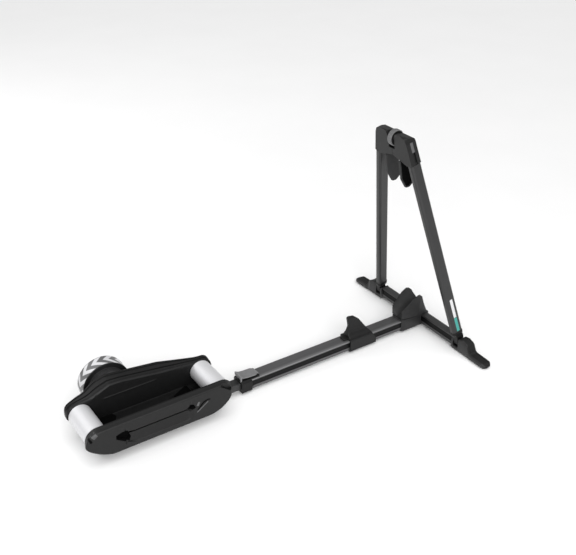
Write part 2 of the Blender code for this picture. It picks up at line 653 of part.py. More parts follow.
inlet = turned("power_inlet", [(2.6, CASE_OUT + 1.6), (INLET_R + 1.6, CASE_OUT + 1.6),
                               (INLET_R + 1.6, CASE_OUT + SEAT), (INLET_R, CASE_OUT + SEAT),
                               (INLET_R, CASE_OUT - 12), (2.6, CASE_OUT - 12)],
               (INLET[0], 0, INLET[1]), "rubber", 24)
light = box("status_light", LIGHT_X, (CASE_OUT - 6, CASE_OUT + 0.6), LIGHT_Z, "light")
bevel(light, 0.6, 1)


# Spine

def tube_outline(half, z0, z1, groove, corner=3.0):
    """Extruded section with one shallow groove along each side."""
    a = z0 + (z1 - z0) * 0.485
    b = z0 + (z1 - z0) * 0.876
    right = [(half, z0, corner), (half, a, 0), (half - groove, a + 2.2, 0),
             (half - groove, b - 2.2, 0), (half, b, 0), (half, z1, corner)]
    left = [(-u, v, r) for u, v, r in reversed(right)]
    return fillet(right + left, 3)


INNER_X = RX + INNER_END
GLIDE_W = TUBE_W - TUBE_SIDE - FIT
GLIDE_Z = (TUBE_Z0 + TUBE_WALL + FIT, TUBE_Z1 - TUBE_WALL - FIT)
inner_tube = prism("inner_tube", rect(INNER_W, INNER_Z0, INNER_Z1, 3), "X", RIB_X + 5.5, INNER_X,
                   "black_alloy", holes=(rect(INNER_W - INNER_WALL, INNER_Z0 + INNER_WALL,
                                              INNER_Z1 - INNER_WALL, 1.5),))
plug = prism("inner_tube_glide", rect(GLIDE_W, *GLIDE_Z, 3), "X", INNER_X + FIT, INNER_X + 9, "rubber")
tenon_wall = INNER_WALL + FIT
join(plug, prism("glide_tenon", rect(INNER_W - tenon_wall, INNER_Z0 + tenon_wall, INNER_Z1 - tenon_wall, 1.2),
                 "X", INNER_X - 30, INNER_X + 2))

outer_tube = prism("outer_tube", tube_outline(TUBE_W, TUBE_Z0, TUBE_Z1, GROOVE), "X", SX, CX - BAR_HALF - 0.5,
                   "black_alloy",
                   holes=(rect(TUBE_W - TUBE_SIDE, TUBE_Z0 + TUBE_WALL, TUBE_Z1 - TUBE_WALL, 2),))
cut(outer_tube, box("shoe_window", (LEVER[0] - SHOE_HALF - SEAT, LEVER[0] + SHOE_HALF + SEAT), (-12.4, 12.4),
                    (TUBE_Z1 - 6, TUBE_Z1 + 10)))
ride(outer_tube, spine_slide)
glide = prism("outer_tube_glide", rect(GLIDE_W, *GLIDE_Z, 2), "X", SX + 1.4, SX + 53.4, "rubber",
              holes=(rect(INNER_W + FIT, INNER_Z0 - FIT, INNER_Z1 + FIT, 2.5),))
ride(glide, spine_slide)
shoe = box("clamp_shoe", (LEVER[0] - SHOE_HALF, LEVER[0] + SHOE_HALF), (-12, 12),
           (INNER_Z1 + FIT, LEVER[1] - 6.0 - FIT), "steel")
ride(shoe, spine_slide)

# Collar: flange, sleeve, wedge under the lever and two lugs for its pin
COLLAR_W = TUBE_W + 5.4
collar_line = fillet([(-COLLAR_W, TUBE_Z0 - 4, 4), (-COLLAR_W, TUBE_Z1 - 4, 0), (7 - COLLAR_W, TUBE_Z1 + 5, 3),
                      (COLLAR_W - 7, TUBE_Z1 + 5, 3), (COLLAR_W, TUBE_Z1 - 4, 0),
                      (COLLAR_W, TUBE_Z0 - 4, 4)], 3)
collar = prism("spine_collar", collar_line, "X", SX - 4.6, SX + 37.4, "casing",
               holes=(rect(INNER_W + FIT, INNER_Z0 - FIT, INNER_Z1 + FIT, 3),))
cut(collar, prism("collar_seat", rect(TUBE_W + SEAT, TUBE_Z0 - SEAT, TUBE_Z1 + SEAT, 2.5), "X",
                  SX - SEAT, SX + 53.4))
wedge = fillet([(SX - 3.6, TUBE_Z1 + 2, 0), (SX - 3.6, TUBE_Z1 + 18, 1), (SX + 6.4, TUBE_Z1 + 11.6, 0),
                (SX + 36.9, TUBE_Z1 + 9, 0), (SX + 36.9, TUBE_Z1 + 2, 0)], 2)
join(collar, prism("lever_wedge", wedge, "Y", -17, 17))
lug = fillet([(SX + 28.4, TUBE_Z1 + 1, 0), (SX + 28.4, TUBE_Z1 + 3.5, 0), (LEVER[0] - 6.5, TUBE_Z1 + 4, 0),
              (LEVER[0] - 6, LEVER[1] + 5.7, 5.5), (LEVER[0] + 6, LEVER[1] + 5.7, 5.5),
              (LEVER[0] + 6, TUBE_Z1 + 1, 0)], 4)
for side, s in SIDES:
    lo, hi = sorted((s * 16.4, s * 21.0))
    join(collar, prism("lever_lug_" + side, lug, "Y", lo, hi))
cut(collar, prism("lever_pin_bore", circle(*LEVER, LEVER_PIN_R + FIT, 20), "Y", -30, 30))
ride(collar, spine_slide)
ride(rod("lever_pin", LEVER_PIN_R, -21.0, 21.0, *LEVER, "steel", 16), spine_slide)

# Cam lever: a dished plate with a raised rear lip and a round cam nose on the pin
plate = fillet([(-71.5, 15.0, 1.2), (-71.5, 18.6, 1.2), (-60, 10.8, 4), (-40, 8.2, 0), (-8, 7.4, 0),
                (-4, 4.2, 0), (-12, 3.6, 0), (-40, 4.4, 0), (-60, 6.6, 2)], 3)
lever = prism("cam_lever", plate, "Y", -21.5, 21.5, "grey_plastic", parent=lever_axis)
sides = fillet([(-73, -22, 4), (-73, 22, 4), (-16, 22, 5), (-9, 16, 3), (8, 16, 0), (8, -16, 0), (-9, -16, 3),
                (-16, -22, 5)], 2)
boolean(lever, prism("lever_plan", sides, "Z", -10, 30, parent=lever_axis), "INTERSECT")
nose = turned("cam_nose", ring_profile(LEVER_PIN_R + FIT, 6.0, -15.8, 15.8), (0, 0, 0), None, 28,
              lever_axis)
rib = box("cam_rib", (-11, -3.6), (-15.6, 15.6), (0.5, 6.0), None, lever_axis)
join(lever, nose, rib)

# Small chock: a sleeve that slides along the spine, with a fin that flares into it
small = prism("small_chock", rect(TUBE_W + 6.2, TUBE_Z0 - 4.4, TUBE_Z1 + 5.4, 5), "X",
              CX - 353, CX - 233, "casing")
TOP = TUBE_Z1                    # the chock and the cradle stand on the spine
fin_side = fillet([(-350, TOP, 0), (-352, TOP + 20, 12), (-343, TOP + 51, 14), (-352, TOP + 92, 5),
                   (-308, TOP + 84, 16), (-293, TOP + 66, 10), (-262, TOP + 20, 14), (-246, TOP + 2, 0),
                   (-246, TOP - 2, 0), (-350, TOP - 2, 0)], 4)
fin = prism("chock_fin", shifted(fin_side, CX), "Y", -27, 27)
flare = fillet([(-26, TOP - 3, 0), (-24, TOP + 10, 6), (-13, TOP + 24, 12), (-8.5, TOP + 50, 0),
                (-8.5, TOP + 96, 4), (8.5, TOP + 96, 4), (8.5, TOP + 50, 0), (13, TOP + 24, 12),
                (24, TOP + 10, 6), (26, TOP - 3, 0)], 3)
boolean(fin, prism("fin_flare", flare, "X", CX - 360, CX - 240), "INTERSECT")
join(small, fin)
join(small, box("chock_tab", (CX - 370, CX - 350), (-12, 14), (TOP + 0.9, TOP + 6)))
cut(small, prism("chock_bore", rect(TUBE_W + CHOCK_FIT, TUBE_Z0 - CHOCK_FIT, TUBE_Z1 + CHOCK_FIT, 2.5), "X",
                 CX - 380, CX - 220))
ride(small, chock_slide)

# Junction cover with the tyre cradle: the groove is the path of a wheel with a V edge
neck = TUBE_W + 6.4
wing = BAR_HALF + SEAT           # rear face of the crossbar's seat
sweep = 22.0                     # radius between the spine's side and the crossbar
plan = fillet([(-112, -neck, 13), (-112, neck, 13), (22, neck, 5), (22, -neck, 5)], 4)
cover = prism("junction_cover", shifted(plan, CX), "Z", TUBE_Z0 - 4, TUBE_Z1 + 6.5, "casing")
bevel(cover, 2.5, 2)
for side, s in SIDES:
    web = [(-wing - sweep, neck - 3)]
    web += [(-wing - sweep + sweep * math.cos(math.radians(k)), neck + sweep + sweep * math.sin(math.radians(k)))
            for k in range(-84, 0, 13)]
    web += [(2 - wing, web[-1][1]), (2 - wing, neck - 3)]
    join(cover, prism("junction_web_" + side, [(CX + u, s * v) for u, v in web], "Z", TUBE_Z0 - 1, BAR_Z1 - 3))
cheek = fillet([(-110, TOP + 2, 0), (-113, TOP + 43, 4), (-84, TOP + 62, 12), (-58, TOP + 74, 8),
                (-36, TOP + 96, 7), (-22, TOP + 94, 8), (-14, TOP + 62, 20), (12, TOP + 4, 0)], 4)
cradle = prism("cradle_block", shifted(cheek, CX), "Y", -40, 40)
cradle_plan = fillet([(-120, -27, 0), (-120, 27, 0), (-34, 38.5, 8), (18, 34, 0), (18, -34, 0),
                      (-34, -38.5, 8)], 3)
boolean(cradle, prism("cradle_plan", shifted(cradle_plan, CX), "Z", TOP - 10, TOP + 110), "INTERSECT")
join(cover, cradle)
groove = [(0, 46), (TYRE_R - 30.5, 46), (TYRE_R + 13, 0), (TYRE_R - 30.5, -46), (0, -46)]
cut(cover, turned("tyre_path", groove, (CX - 230, 0, TUBE_Z1 + TYRE_R), None, 128))
cut(cover, prism("spine_bore", rect(TUBE_W + SEAT, TUBE_Z0 - SEAT, TUBE_Z1 + SEAT, 2), "X", CX - 130, CX - 14))
cut(cover, box("crossbar_bore", (CX - BAR_HALF - SEAT, CX + BAR_HALF + SEAT), (-80, 80),
               (BAR_Z0 - SEAT, BAR_Z1 + SEAT)))
ride(cover, spine_slide)

# Crossbar and feet

bar = prism("crossbar", tube_outline(BAR_HALF, BAR_Z0, BAR_Z1, BAR_GROOVE, 2.5), "Y", FIT - FOOT_IN,
            FOOT_IN - FIT, "black_alloy", holes=(rect(BAR_HALF - 4.2, BAR_Z0 + 2.6, BAR_Z1 - 2.6, 2),))
bar.location.x = CX * MM
ride(bar, spine_slide)

ear = PIVOT_Z + 16.0
foot_side = fillet([(FOOT_IN, FOOT_Z, 0), (FOOT_IN, ear, 3), (FOOT_IN + SLOT_IN, ear, 3),
                    (FOOT_IN + SLOT_IN, PIVOT_Z - 17, 2), (FOOT_IN + SLOT_OUT, PIVOT_Z - 17, 2),
                    (FOOT_IN + SLOT_OUT, ear + 5, 4), (FOOT_IN + 56, ear + 9, 12),
                    (FOOT_TIP - 96, ear + 1, 16),
                    (FOOT_TIP - 82, FOOT_Z + 17, 14), (FOOT_TIP - 14, FOOT_Z + 14, 12),
                    (FOOT_TIP, FOOT_Z + 7, 5), (FOOT_TIP, FOOT_Z, 2.5)], 4)
waist = FOOT_HALF - 2
foot_plan = fillet([(-waist, FOOT_IN - 6, 0), (-waist, FOOT_TIP - 92, 20), (-FOOT_HALF, FOOT_TIP - 72, 30),
                    (-FOOT_HALF, FOOT_TIP, 19), (FOOT_HALF, FOOT_TIP, 19), (FOOT_HALF, FOOT_TIP - 72, 30),
                    (waist, FOOT_TIP - 92, 20), (waist, FOOT_IN - 6, 0)], 6)
for side, s in SIDES:
    profile = [(s * u, v) for u, v in foot_side]
    foot = prism(side + "_foot", profile, "X", CX - 24, CX + 24, "casing")
    footprint = [(CX + u, s * v) for u, v in foot_plan]
    boolean(foot, prism(side + "_footprint", footprint, "Z", -5, 90), "INTERSECT")
    lo, hi = sorted((s * (FOOT_IN - 6), s * (FOOT_IN + 56)))
    hinge_x = CX + PIVOT_X
    cut(foot, prism(side + "_pin_bore", circle(hinge_x, PIVOT_Z, PIN_R + FIT, 20), "Y", lo, hi))
    ride(foot, spine_slide)
    half = FOOT_HALF - 5
    back, ahead = s * (FOOT_TIP - 82), s * (FOOT_TIP - 5)
    sole_line = fillet([(CX - half, back, 4), (CX - half, ahead, 14), (CX + half, ahead, 14),
                        (CX + half, back, 4)], 4)
    sole = prism(side + "_foot_sole", sole_line, "Z", 0, FOOT_Z - FIT, "rubber")
    bevel(sole, 0.8, 1)
    ride(sole, spine_slide)
    lo, hi = sorted((s * (FOOT_IN + 0.6), s * (FOOT_IN + 55.4)))
    ride(rod(side + "_hinge_pin", PIN_R, lo, hi, hinge_x, PIVOT_Z, "steel", 20), spine_slide)

# A-frame: everything below is laid out in the frame's own plane, Z up along the slope


def leg_section(depth=0.0):
    """Rounded section of a leg, or of a face set in by a depth: X along its longer side."""
    return rect(LEG_A - depth, depth - LEG_B, LEG_B - depth, LEG_R - depth)


def leg_place(side_sign, station):
    """Frame on a leg's centre line at a station, tilted along the leg."""
    y = side_sign * (LEG_Y - math.tan(SPLAY) * station)
    return move(0, y, station) @ Matrix.Rotation(side_sign * SPLAY, 4, "X")


for side, s in SIDES:
    stretch = 1 / math.cos(SPLAY)
    leg = prism(side + "_leg", leg_section(), "Z", 30 * stretch, LEG_TOP * stretch, "black_alloy",
                holes=(leg_section(LEG_WALL),), parent=frame_axis, matrix=leg_place(s, 0))
    knuckle = [(KNUCKLE_R * math.cos(math.radians(180 + 15 * k)), KNUCKLE_R * math.sin(math.radians(180 + 15 * k)))
               for k in range(13)]
    knuckle += [(KNUCKLE_R, 34), (KNUCKLE_R - 2, 36), (2 - KNUCKLE_R, 36), (-KNUCKLE_R, 34)]
    lo, hi = sorted((s * (LEG_Y - KNUCKLE / 2), s * (LEG_Y + KNUCKLE / 2)))
    joint = prism(side + "_knuckle", knuckle, "Y", lo, hi, parent=frame_axis)
    join(leg, joint)
    lo, hi = sorted((s * (LEG_Y - 22.3), s * (LEG_Y + 22.7)))
    cut(leg, prism(side + "_knuckle_bore", circle(0, 0, PIN_R + SEAT, 20), "Y", lo, hi, parent=frame_axis))

    inner, hub = 0.5, WHEEL_HALF + 5.5
    block = fillet([(APEX_Y + 12.72, LEG_TOP + 4.1, 0), (APEX_Y - 3.46, WHEEL_S + 6, 16),
                    (APEX_Y - 11.46, WHEEL_S + 23, 10), (50, WHEEL_S + 31, 8), (hub + 8.5, WHEEL_S + 28, 8),
                    (hub, WHEEL_S + 10, 4), (hub, WHEEL_S - 32, 3), (inner, WHEEL_S - 32, 0),
                    (inner, LEG_TOP + 19, 0), (30, LEG_TOP + 13, 10), (APEX_Y - 13.14, LEG_TOP - 1.1, 0)], 3)
    block = [(s * u, v) for u, v in block]
    bracket = prism(side + "_apex_bracket", block, "X", -BRACKET_HALF, BRACKET_HALF, "casing",
                    parent=frame_axis)
    lo, hi = sorted((-s * 4, s * (APEX_Y + 30)))
    slope = [(-BRACKET_HALF - 4, WHEEL_S + 33), (BRACKET_HALF + 4, WHEEL_S + 12), (BRACKET_HALF + 4, WHEEL_S + 60),
             (-BRACKET_HALF - 4, WHEEL_S + 60)]
    cut(bracket, prism(side + "_bracket_slope", slope, "Y", lo, hi, parent=frame_axis))
    bevel(bracket, 3.5, 2)
    tenon = prism(side + "_tenon", leg_section(LEG_WALL + SEAT), "Z", -48, 16, parent=frame_axis,
                  matrix=leg_place(s, LEG_TOP + 1))
    join(bracket, tenon)
    lo, hi = sorted((s * (PAD_Y - 20.7), s * (PAD_Y + 25)))
    slot = NECK_HALF + 0.5
    cut(bracket, box(side + "_pad_slot", (-slot, slot), (lo, hi), (LEG_TOP - 15, WHEEL_S + 19), None,
                     frame_axis))
    lo, hi = sorted((s * 14, s * (SPINDLE_HALF + 2)))
    cut(bracket, prism(side + "_spindle_bore", circle(0, WHEEL_S, PIN_R + SEAT, 20), "Y", lo, hi,
                       parent=frame_axis))

    low, top = WHEEL_S - 183, WHEEL_S - 69
    blade = fillet([(-24, top, 3), (-27, low + 43, 20), (-13, low + 3, 9), (4, low, 9), (25, low + 12, 9),
                    (28, low + 43, 20), (24, top, 3)], 4)
    lo, hi = sorted((s * PAD_Y, s * (PAD_Y + PAD_THICK)))
    pad = prism(side + "_clamp_pad", blade, "Y", lo, hi, "rubber", parent=frame_axis)
    lo, hi = sorted((s * (PAD_Y + 2), s * (PAD_Y + 18)))
    join(pad, box(side + "_pad_neck", (-NECK_HALF, NECK_HALF), (lo, hi), (top - 11, WHEEL_S + 13), None,
                  frame_axis))
    hollow = fillet([(-19, top - 11, 4), (-22, low + 43, 14), (-11, low + 10, 6), (3, low + 6, 6),
                     (20, low + 16, 6), (23, low + 43, 14), (19, top - 11, 4)], 3)
    lo, hi = sorted((s * (PAD_Y + 4), s * (PAD_Y + PAD_THICK + 2)))
    cut(pad, prism(side + "_pad_hollow", hollow, "Y", lo, hi, parent=frame_axis))
    lo, hi = sorted((s * (PAD_Y - 2), s * (PAD_Y + 28)))
    cut(pad, prism(side + "_pad_bore", circle(0, WHEEL_S, PIN_R + SEAT, 20), "Y", lo, hi, parent=frame_axis))

wheel_axis = empty_at("thumbwheel_axis", 0, 0, WHEEL_S)
wheel_axis.parent = frame_axis
turned("clamp_thumbwheel", ring_profile(PIN_R + FIT, WHEEL_R, -WHEEL_HALF, WHEEL_HALF, 1.5), (0, 0, 0),
       "grey_plastic", 40, wheel_axis)
turned("clamp_spindle", rod_profile(PIN_R, -SPINDLE_HALF, SPINDLE_HALF), (0, 0, 0), "steel", 20, wheel_axis)
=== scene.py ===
"""Looks of the wheel-on smart trainer: smooth shells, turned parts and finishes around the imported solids.

Shapes are worked out in millimetres in the row frame: +X from the rear rollers to the crossbar, +Y to the
flywheel's side, +Z up, floor at 0.  MM turns them to metres when a mesh is made.
"""
import math

import bpy
import numpy as np
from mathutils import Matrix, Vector


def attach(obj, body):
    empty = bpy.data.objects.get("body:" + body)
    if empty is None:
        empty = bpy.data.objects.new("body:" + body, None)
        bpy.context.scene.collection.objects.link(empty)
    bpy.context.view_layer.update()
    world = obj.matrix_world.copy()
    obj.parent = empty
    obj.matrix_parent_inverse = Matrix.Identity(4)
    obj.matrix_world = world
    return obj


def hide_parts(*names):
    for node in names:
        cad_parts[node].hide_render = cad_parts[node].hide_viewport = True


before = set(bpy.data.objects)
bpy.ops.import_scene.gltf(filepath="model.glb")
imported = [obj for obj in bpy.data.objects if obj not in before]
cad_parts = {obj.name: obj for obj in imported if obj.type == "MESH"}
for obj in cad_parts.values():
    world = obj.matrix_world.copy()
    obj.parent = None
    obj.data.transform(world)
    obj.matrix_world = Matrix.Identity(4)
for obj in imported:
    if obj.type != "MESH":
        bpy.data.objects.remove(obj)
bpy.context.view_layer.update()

MM = 0.001

# Places shared with the solids, mm
RX = -664.58                       # rear roller axis
FX = -229.78                       # front roller axis
CX = 692.02                        # crossbar axis
WX, WZ = -534.58, 109.0            # flywheel axis
AXIS_Z = 94.0                      # height of both roller axes
INLET = RX + 262, 84               # power inlet's axis
PLATE_IN, PLATE_OUT = 71.0, 76.3   # a side plate's inner face, and where its casing starts
SX = -117.98                       # rear end of the outer spine tube
LEVER_X, LEVER_Z = -52.08, 56.5    # cam lever's pin
HINGE_X, HINGE_Z = 689.92, 36.0    # A-frame's hinge
LEAN = math.atan(0.2258)           # A-frame's slope over the rear unit
SPLAY = math.atan(0.2026)          # legs' slope towards each other
LEG_Y = 227.3                      # a leg's centre line at the hinge
WHEEL_S = 780.0                    # clamp screw's axis, up the slope from the hinge
SIDES = (("near", -1.0), ("far", 1.0))


# Outlines

def points(*rows):
    return np.array(rows, float)


def rounded(corners, steps=6, closed=True):
    """Outline of corners (u, v, r): each corner turns into an arc of radius r that touches both its sides, whose
    points are the arc's centre plus r times cosine and sine of evenly spread angles."""
    c = np.array([p[:2] for p in corners], float)
    out = []
    for i, (_, _, r) in enumerate(corners):
        here = c[i]
        if r <= 0 or (not closed and i in (0, len(c) - 1)):
            out.append(here[None])
            continue
        a, b = c[i - 1] - here, c[(i + 1) % len(c)] - here
        la, lb = np.hypot(*a), np.hypot(*b)
        a, b = a / la, b / lb
        half = math.acos(float(np.clip(a @ b, -1, 1))) / 2
        touch = min(r / math.tan(half), la * 0.49, lb * 0.49)
        true = touch * math.tan(half)
        centre = here + (a + b) / np.hypot(*(a + b)) * true / math.sin(half)
        first, final = here + a * touch - centre, here + b * touch - centre
        start = math.atan2(first[1], first[0])
        sweep = (math.atan2(final[1], final[0]) - start + math.pi) % (2 * math.pi) - math.pi
        angles = start + sweep * np.linspace(0, 1, steps + 1)
        out.append(centre + true * np.stack([np.cos(angles), np.sin(angles)], 1))
    return np.concatenate(out)


def grown(outline, by):
    """Outline moved outward by a distance: each point goes along the mitre of its two sides' normals."""
    side = np.roll(outline, -1, 0) - outline
    area = np.sum(outline[:, 0] * np.roll(outline[:, 1], -1) - outline[:, 1] * np.roll(outline[:, 0], -1))
    side /= np.maximum(np.hypot(side[:, 0], side[:, 1]), 1e-9)[:, None]
    normal = np.stack([side[:, 1], -side[:, 0]], 1) * np.sign(area)
    before = np.roll(normal, 1, 0)
    return outline + by * (normal + before) / np.maximum(1 + np.sum(normal * before, 1), 0.25)[:, None]


def disc(u, v, r, steps=48):
    """Circle: centre plus r times cosine and sine of evenly spread angles."""
    a = np.linspace(0, 2 * np.pi, steps, endpoint=False)
    return np.stack([u + r * np.cos(a), v + r * np.sin(a)], 1)


def bar(half, v0, v1, r, steps=5):
    """Rounded rectangle, u either side of the middle."""
    return rounded([(-half, v0, r), (half, v0, r), (half, v1, r), (-half, v1, r)], steps)


def smooth(x, lo, hi):
    """Eased step from 0 at lo to 1 at hi: three times the share squared less twice its cube."""
    t = np.clip((np.asarray(x, float) - lo) / (hi - lo), 0, 1)
    return t * t * (3 - 2 * t)


def window(x, lo, hi, ease):
    """1 between lo and hi, easing to 0 over a width at both ends."""
    return smooth(x, lo - ease / 2, lo + ease / 2) * (1 - smooth(x, hi - ease / 2, hi + ease / 2))


def reach(outline, level):
    """Least and greatest u where an outline crosses each level of v."""
    p, q = outline, np.roll(outline, -1, 0)
    level = np.asarray(level, float)[:, None]
    dv = q[:, 1] - p[:, 1]
    t = (level - p[:, 1]) / np.where(np.abs(dv) < 1e-9, 1e-9, dv)
    u = p[:, 0] + t * (q[:, 0] - p[:, 0])
    hit = (t >= -1e-6) & (t <= 1 + 1e-6) & (np.abs(dv) > 1e-9)
    return np.where(hit, u, np.inf).min(1), np.where(hit, u, -np.inf).max(1)


def end_stations(lo, hi, count):
    """Stations from the tip of a rounded end: spacing grows with one less the cosine."""
    return lo + (hi - lo) * (1 - np.cos(np.linspace(0, np.pi / 2, count)))


def stations(*runs):
    """Several runs of stations as one, sorted and without repeats."""
    return np.unique(np.concatenate(runs))


def drawn_in(depth, r):
    """How far a side draws in near a rounded end: r less the height of the quarter circle at that depth."""
    return r - np.sqrt(np.clip(r * r - np.clip(r - depth, 0, r) ** 2, 0, None))


# Shells: arrays of points and faces, always closed and facing out

AXIS_ORDER = {"X": (2, 0, 1), "Y": (0, 2, 1), "Z": (0, 1, 2)}


def placed(outline, axis, station):
    """Outline (u, v) at a station along an axis: (Y, Z) for X, (X, Z) for Y and (X, Y) for Z."""
    flat = np.concatenate([outline, np.full((len(outline), 1), station)], 1)
    return flat[:, AXIS_ORDER[axis]]


def faced_out(verts, faces):
    """The shell, turned right side out if its volume is negative: a sixth of the sum, over the faces, of a corner
    times the face's doubled area vector."""
    total = 0.0
    for size in {len(f) for f in faces}:
        p = verts[np.array([g for g in faces if len(g) == size])]
        area = np.cross(p - p[:, :1], np.roll(p, -1, 1) - p[:, :1]).sum(1)
        total += np.sum(p.mean(1) * area) / 6
    return verts, [f[::-1] for f in faces] if total < 0 else faces


def shell(rows, ring=False):
    """Quads over rows of points, closed round each row; the first and last rows are capped, or joined if ring."""
    rows = np.asarray(rows, float)
    n, m = rows.shape[:2]
    index = np.arange(n * m).reshape(n, m)
    top = np.roll(index, -1, 0) if ring else index[1:]
    low = index if ring else index[:-1]
    quads = np.stack([low, np.roll(low, -1, 1), np.roll(top, -1, 1), top], -1).reshape(-1, 4)
    verts = rows.reshape(-1, 3)
    _, first, back = np.unique(np.round(verts * 2000).astype(np.int64), axis=0, return_index=True,
                               return_inverse=True)
    back = back.reshape(-1)
    quads = back[quads]
    same = quads == np.roll(quads, -1, 1)
    count = same.sum(1)
    tris = quads[count == 1][~same[count == 1]].reshape(-1, 3)
    faces = quads[count == 0].tolist() + tris.tolist()
    for row in () if ring else (index[0][::-1], index[-1]):
        loop = back[row]
        loop = loop[loop != np.roll(loop, -1)]
        if len(set(loop.tolist())) > 2:
            faces.append(loop.tolist())
    return faced_out(verts[first], faces)


def slab(outline, axis, start, stop, edge=1.5, steps=4):
    """Outline carried along an axis; near each end it shrinks along a quarter circle, so the edges are round."""
    lo, hi = sorted((start, stop))
    a = np.linspace(0, np.pi / 2, steps + 1)
    shrink = np.concatenate([edge * (1 - np.sin(a)), edge * (1 - np.sin(a[::-1]))])
    station = np.concatenate([lo + edge * (1 - np.cos(a)), hi - edge * (1 - np.cos(a[::-1]))])
    return shell([placed(grown(outline, -d), axis, s) for d, s in zip(shrink, station)])


def pipe(outer, inner, axis, lo, hi, edge=0.4):
    """Wall between two outlines of equal point count, carried along an axis, its end edges broken."""
    out_rows = [(grown(outer, -edge), lo), (outer, lo + edge), (outer, hi - edge), (grown(outer, -edge), hi)]
    back_rows = [(grown(inner, edge), hi), (inner, hi - edge), (inner, lo + edge), (grown(inner, edge), lo)]
    return shell([placed(line, axis, at) for line, at in out_rows + back_rows], ring=True)


def turned(profile, x, z, steps=72, ring=False, shape=None):
    """Profile of (radius, y) turned about an axis along Y: x and z are the centre plus radius times cosine and
    sine.  shape(angle, radius, y) may give a radius that changes round the turn."""
    profile = np.asarray(profile, float)
    a = np.linspace(0, 2 * np.pi, steps, endpoint=False)
    r = np.repeat(profile[:, :1], steps, 1)
    if shape is not None:
        r = shape(a[None, :], r, profile[:, 1:])
    y = np.repeat(profile[:, 1:], steps, 1)
    return shell(np.stack([x + r * np.cos(a), y, z + r * np.sin(a)], -1), ring=ring)


def bore(radius, lo, hi, x, z, steps=32):
    """What a drill along Y takes away: a constant radius turned about its axis."""
    return turned([(0, lo), (radius, lo), (radius, hi), (0, hi)], x, z, steps)


def lofted(axis, station, u0, u1, v0, v1, r, steps=5):
    """Rounded rectangles along an axis: quarter circles of radius r about centres set in from the sides."""
    station, u0, u1, v0, v1, r = (np.broadcast_to(np.asarray(k, float), np.shape(station))[:, None]
                                  for k in (station, u0, u1, v0, v1, r))
    r = np.minimum(r, 0.499 * np.minimum(u1 - u0, v1 - v0))
    a = np.concatenate([np.linspace(k, k + 0.5, steps + 1) for k in (0, 0.5, 1, 1.5)]) * np.pi
    right = np.repeat([1.0, 0.0, 0.0, 1.0], steps + 1)
    high = np.repeat([1.0, 1.0, 0.0, 0.0], steps + 1)
    u = right * (u1 - r) + (1 - right) * (u0 + r) + r * np.cos(a)
    v = high * (v1 - r) + (1 - high) * (v0 + r) + r * np.sin(a)
    flat = np.stack([u, v, np.broadcast_to(station, u.shape)], -1)
    return shell(flat[..., AXIS_ORDER[axis]])


def moved(part, turn):
    """The same shell with its points sent through a function."""
    return faced_out(turn(part[0]), part[1])


def on_side(part, side):
    """A shell made for the far side (1) mirrored to the near side (-1), or left there."""
    return moved(part, lambda p: p * (1, side, 1))


def on_frame(p):
    """A-frame coordinates (depth, y, up the slope) turned back by the lean about the hinge, and put in place."""
    c, s = math.cos(LEAN), math.sin(LEAN)
    return np.stack([HINGE_X + p[:, 0] * c - p[:, 2] * s, p[:, 1], HINGE_Z + p[:, 0] * s + p[:, 2] * c], 1)


# Objects

def in_scene(name, data):
    obj = bpy.data.objects.new(name, data)
    bpy.context.scene.collection.objects.link(obj)
    return obj


def joined(name, parts):
    """One object of several shells, in metres."""
    verts, faces, base = [], [], 0
    for v, f in parts:
        verts.append(v)
        faces += [[k + base for k in g] for g in f]
        base += len(v)
    mesh = bpy.data.meshes.new(name)
    mesh.from_pydata((np.concatenate(verts) * MM).tolist(), [], faces)
    return in_scene(name, mesh)


def modify(obj, kind, **settings):
    step = obj.modifiers.new(kind.lower(), kind)
    for key, value in settings.items():
        setattr(step, key, value)


def piece(name, parts, look, body, stands_for=None, sharp=32.0):
    """One object made of shells, smooth apart from edges sharper than the angle."""
    obj = joined(name, parts)
    obj.data.materials.append(look)
    obj.data.shade_smooth()
    obj.data.set_sharp_from_angle(angle=math.radians(sharp))
    modify(obj, "WEIGHTED_NORMAL", keep_sharp=True, weight=80)
    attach(obj, body)
    if stands_for:
        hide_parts(stands_for)
    return obj


def carved(parts, cutters, kind="DIFFERENCE", soften=0.0):
    """Shells after a Boolean with other shells, as one mesh in millimetres with its new edges softened."""
    made = [joined("carving", group) for group in (parts, *([c] for c in cutters))]
    for tool in made[1:]:
        modify(made[0], "BOOLEAN", operation=kind, solver="EXACT", object=tool)
    if soften:
        modify(made[0], "BEVEL", width=soften * MM, segments=3, limit_method="ANGLE", angle_limit=math.radians(38))
    bpy.context.view_layer.update()
    mesh = bpy.data.meshes.new_from_object(made[0].evaluated_get(bpy.context.evaluated_depsgraph_get()))
    verts = np.zeros(len(mesh.vertices) * 3, np.float32)
    mesh.vertices.foreach_get("co", verts)
    faces = [list(p.vertices) for p in mesh.polygons]
    for obj in made:
        bpy.data.objects.remove(obj, do_unlink=True)
    return verts.reshape(-1, 3).astype(float) / MM, faces


# Finishes

def grey(level):
    """Linear grey of a display level from 0 to 255, a touch cool."""
    s = level / 255
    c = ((s + 0.055) / 1.055) ** 2.4 if s > 0.04045 else s / 12.92
    return (c, c, c * 1.02)


def wire(value, socket):
    """Link an output to a socket, or set the socket's own value; on a colour socket a bare number is the display
    level of a grey."""
    if isinstance(value, bpy.types.NodeSocket):
        socket.id_data.links.new(value, socket)
    elif socket.type == "RGBA":
        socket.default_value = (*(value if isinstance(value, tuple) else grey(value)), 1.0)
    else:
        socket.default_value = value


def node(tree, kind, *values, **settings):
    """New node: values go to its sockets in turn, settings to its properties or to its sockets by name."""
    made = tree.nodes.new("ShaderNode" + kind)
    for key, value in settings.items():
        if key in made.inputs.keys():
            wire(value, made.inputs[key])
        else:
            setattr(made, key, value)
    for value, socket in zip(values, made.inputs):
        wire(value, socket)
    return made


